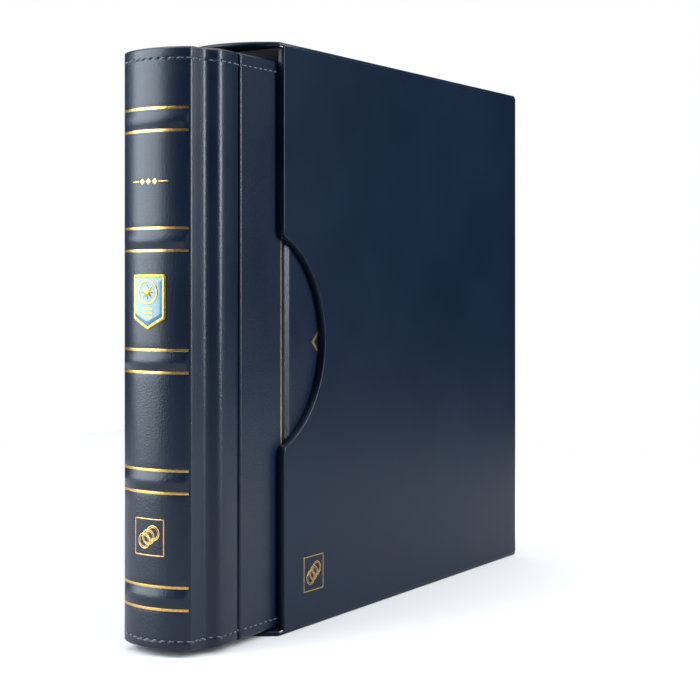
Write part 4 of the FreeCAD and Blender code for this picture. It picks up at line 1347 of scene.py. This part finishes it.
    def stitching(self) -> None:
        """Thread of both rows: each stitch is a short bowed strand that dives at its ends."""
        points, along = self.stitch_stations()
        outward = np.stack([along[:, 1], -along[:, 0]], axis=1)
        share = np.linspace(-1.0, 1.0, 6)
        reach = share * self.stitch_length / 2
        lift = 0.14 - 0.62 * np.abs(share) ** 3
        thick = self.stitch_thick * (1.0 - 0.35 * np.abs(share) ** 3)
        turn = np.linspace(0.0, 2 * math.pi, 7)[:-1]
        shell = Shell()
        for row in self.stitch_heights:
            middle = (points[:, None, :] + along[:, None, :] * reach[None, :, None]
                      + outward[:, None, :] * lift[None, :, None])
            side = outward[:, None, None, :] * (thick[None, :, None] * np.cos(turn)[None, None, :])[..., None]
            flat = middle[:, :, None, :] + side
            height = row + thick[None, :, None] * np.sin(turn)[None, None, :]
            strands = np.concatenate([flat, np.broadcast_to(height, flat.shape[:3])[..., None]], axis=3)
            for strand in strands:
                shell.tube(strand)
        finish_piece(shell.build("edge_thread", 60.0), self.palette.thread, "album",
                     ("edge_stitching",))

    def build(self) -> None:
        """Make every piece of the album's case."""
        self.spine_leather()
        self.cover_leather("front_cover_leather", 1, "front_cover_pad")
        self.cover_leather("rear_cover_leather", -1, "rear_cover_pad")
        self.gold_lines()
        self.spine_ornaments()
        self.cover_foil()
        self.shield()
        self.stitching()


# ---- studio -------------------------------------------------------------------------------------
@dataclass(frozen=True)
class Softbox:
    """Rectangular soft light that looks at a point."""

    name: str
    place: tuple[float, float, float]
    target: tuple[float, float, float]
    size: tuple[float, float]
    radiance: float
    colour: Colour = (1.0, 1.0, 1.0)

    def build(self) -> None:
        """Make the light."""
        light = bpy.data.lights.new(self.name, "AREA")
        light.shape = "RECTANGLE"
        light.size, light.size_y = self.size
        light.energy = self.radiance * math.pi * self.size[0] * self.size[1]
        light.color = self.colour
        obj = bpy.data.objects.new(self.name, light)
        bpy.context.scene.collection.objects.link(obj)
        obj.location = self.place
        aim = Vector(self.target) - Vector(self.place)
        obj.rotation_euler = aim.to_track_quat("-Z", "Y").to_euler()
        obj.visible_camera = False


def around(degrees: float, distance: float, height: float) -> tuple[float, float, float]:
    """Place round the spine at a plan angle from -Y towards +X.

    Args:
        degrees: Plan angle.
        distance: Distance from the spine in metres.
        height: Height in metres.

    Returns:
        The place.
    """
    turn = math.radians(degrees)
    return distance * math.sin(turn), -0.15 - distance * math.cos(turn), height


@dataclass(frozen=True)
class Studio:
    """Pale floor, white background, soft lights and the camera."""

    camera_place: tuple[float, float, float] = (0.513, -0.791, 0.198)
    camera_turn: float = 32.5
    lens: float = 77.1
    shift: float = -0.1009

    def floor(self) -> None:
        """Wide pale floor under the object."""
        shell = Shell()
        side = 800.0
        line = np.linspace(-side, side, 9)
        x, y = np.meshgrid(line, line, indexing="ij")
        shell.grid(np.dstack([x, y, np.zeros_like(x)]))
        floor = shell.build("studio_floor")
        recipe = Recipe("pale_floor")
        cloud = recipe.noise(3.0)
        recipe.join(recipe.blend_colours(cloud, (0.48, 0.48, 0.485), (0.50, 0.50, 0.50)), "Base Color")
        recipe.join(recipe.ramp(cloud, 0.3, 0.7, 0.86, 0.94), "Roughness")
        recipe.put(Specular_IOR_Level=0.1)
        floor.data.materials.append(recipe.material)

    def world(self) -> None:
        """White to the camera and a dim fill to everything else."""
        world = bpy.data.worlds.new("studio_white")
        world.use_nodes = True
        bpy.context.scene.world = world
        tree = world.node_tree
        fill = tree.nodes["Background"]
        fill.inputs["Color"].default_value = (0.86, 0.92, 1.0, 1.0)
        fill.inputs["Strength"].default_value = 0.045
        seen = tree.nodes.new("ShaderNodeBackground")
        seen.inputs["Color"].default_value = (1.0, 1.0, 1.0, 1.0)
        path = tree.nodes.new("ShaderNodeLightPath")
        mix = tree.nodes.new("ShaderNodeMixShader")
        tree.links.new(path.outputs["Is Camera Ray"], mix.inputs["Fac"])
        tree.links.new(fill.outputs["Background"], mix.inputs[1])
        tree.links.new(seen.outputs["Background"], mix.inputs[2])
        tree.links.new(mix.outputs["Shader"], tree.nodes["World Output"].inputs["Surface"])

    def lights(self) -> None:
        """Big box ahead to the left, one to the right, one overhead and a dim card behind."""
        target = (0.0, -0.17, 0.16)
        boxes = (
            Softbox("left_box", around(-43.0, 1.15, 0.58), target, (1.25, 1.2), 12.0, (0.84, 0.92, 1.0)),
            Softbox("right_box", around(108.0, 1.20, 0.62), target, (0.50, 1.0), 22.0, (0.88, 0.94, 1.0)),
            Softbox("top_box", (0.1, 0.3, 2.6), (0.1, 0.3, 0.0), (4.6, 4.6), 3.0),
            Softbox("rear_card", (1.15, 1.35, 0.75), (0.0, 0.0, 0.2), (1.0, 0.7), 0.07, (0.85, 0.92, 1.0)),
        )
        for box in boxes:
            box.build()

    def camera(self) -> None:
        """Level camera that looks down the front cover from the spine's side."""
        data = bpy.data.cameras.new("camera")
        data.lens = self.lens
        data.sensor_width = 36.0
        data.shift_y = self.shift
        data.clip_start = 0.01
        camera = bpy.data.objects.new("camera", data)
        bpy.context.scene.collection.objects.link(camera)
        camera.location = self.camera_place
        camera.rotation_euler = (math.pi / 2, 0.0, math.radians(self.camera_turn))
        bpy.context.scene.camera = camera
        bpy.context.scene.view_settings.view_transform = "Standard"

    def build(self) -> None:
        """Make the studio."""
        self.floor()
        self.world()
        self.lights()
        self.camera()


def main() -> None:
    """Dress the frame's nodes, build the pieces and set up the studio."""
    logging.basicConfig(level=logging.INFO, format="%(message)s")
    palette = Palette()
    palette.dress_nodes(frame["nodes"])
    Slipcase(palette).build()
    AlbumCase(palette).build()
    Studio().build()


if __name__ == "__main__":
    main()
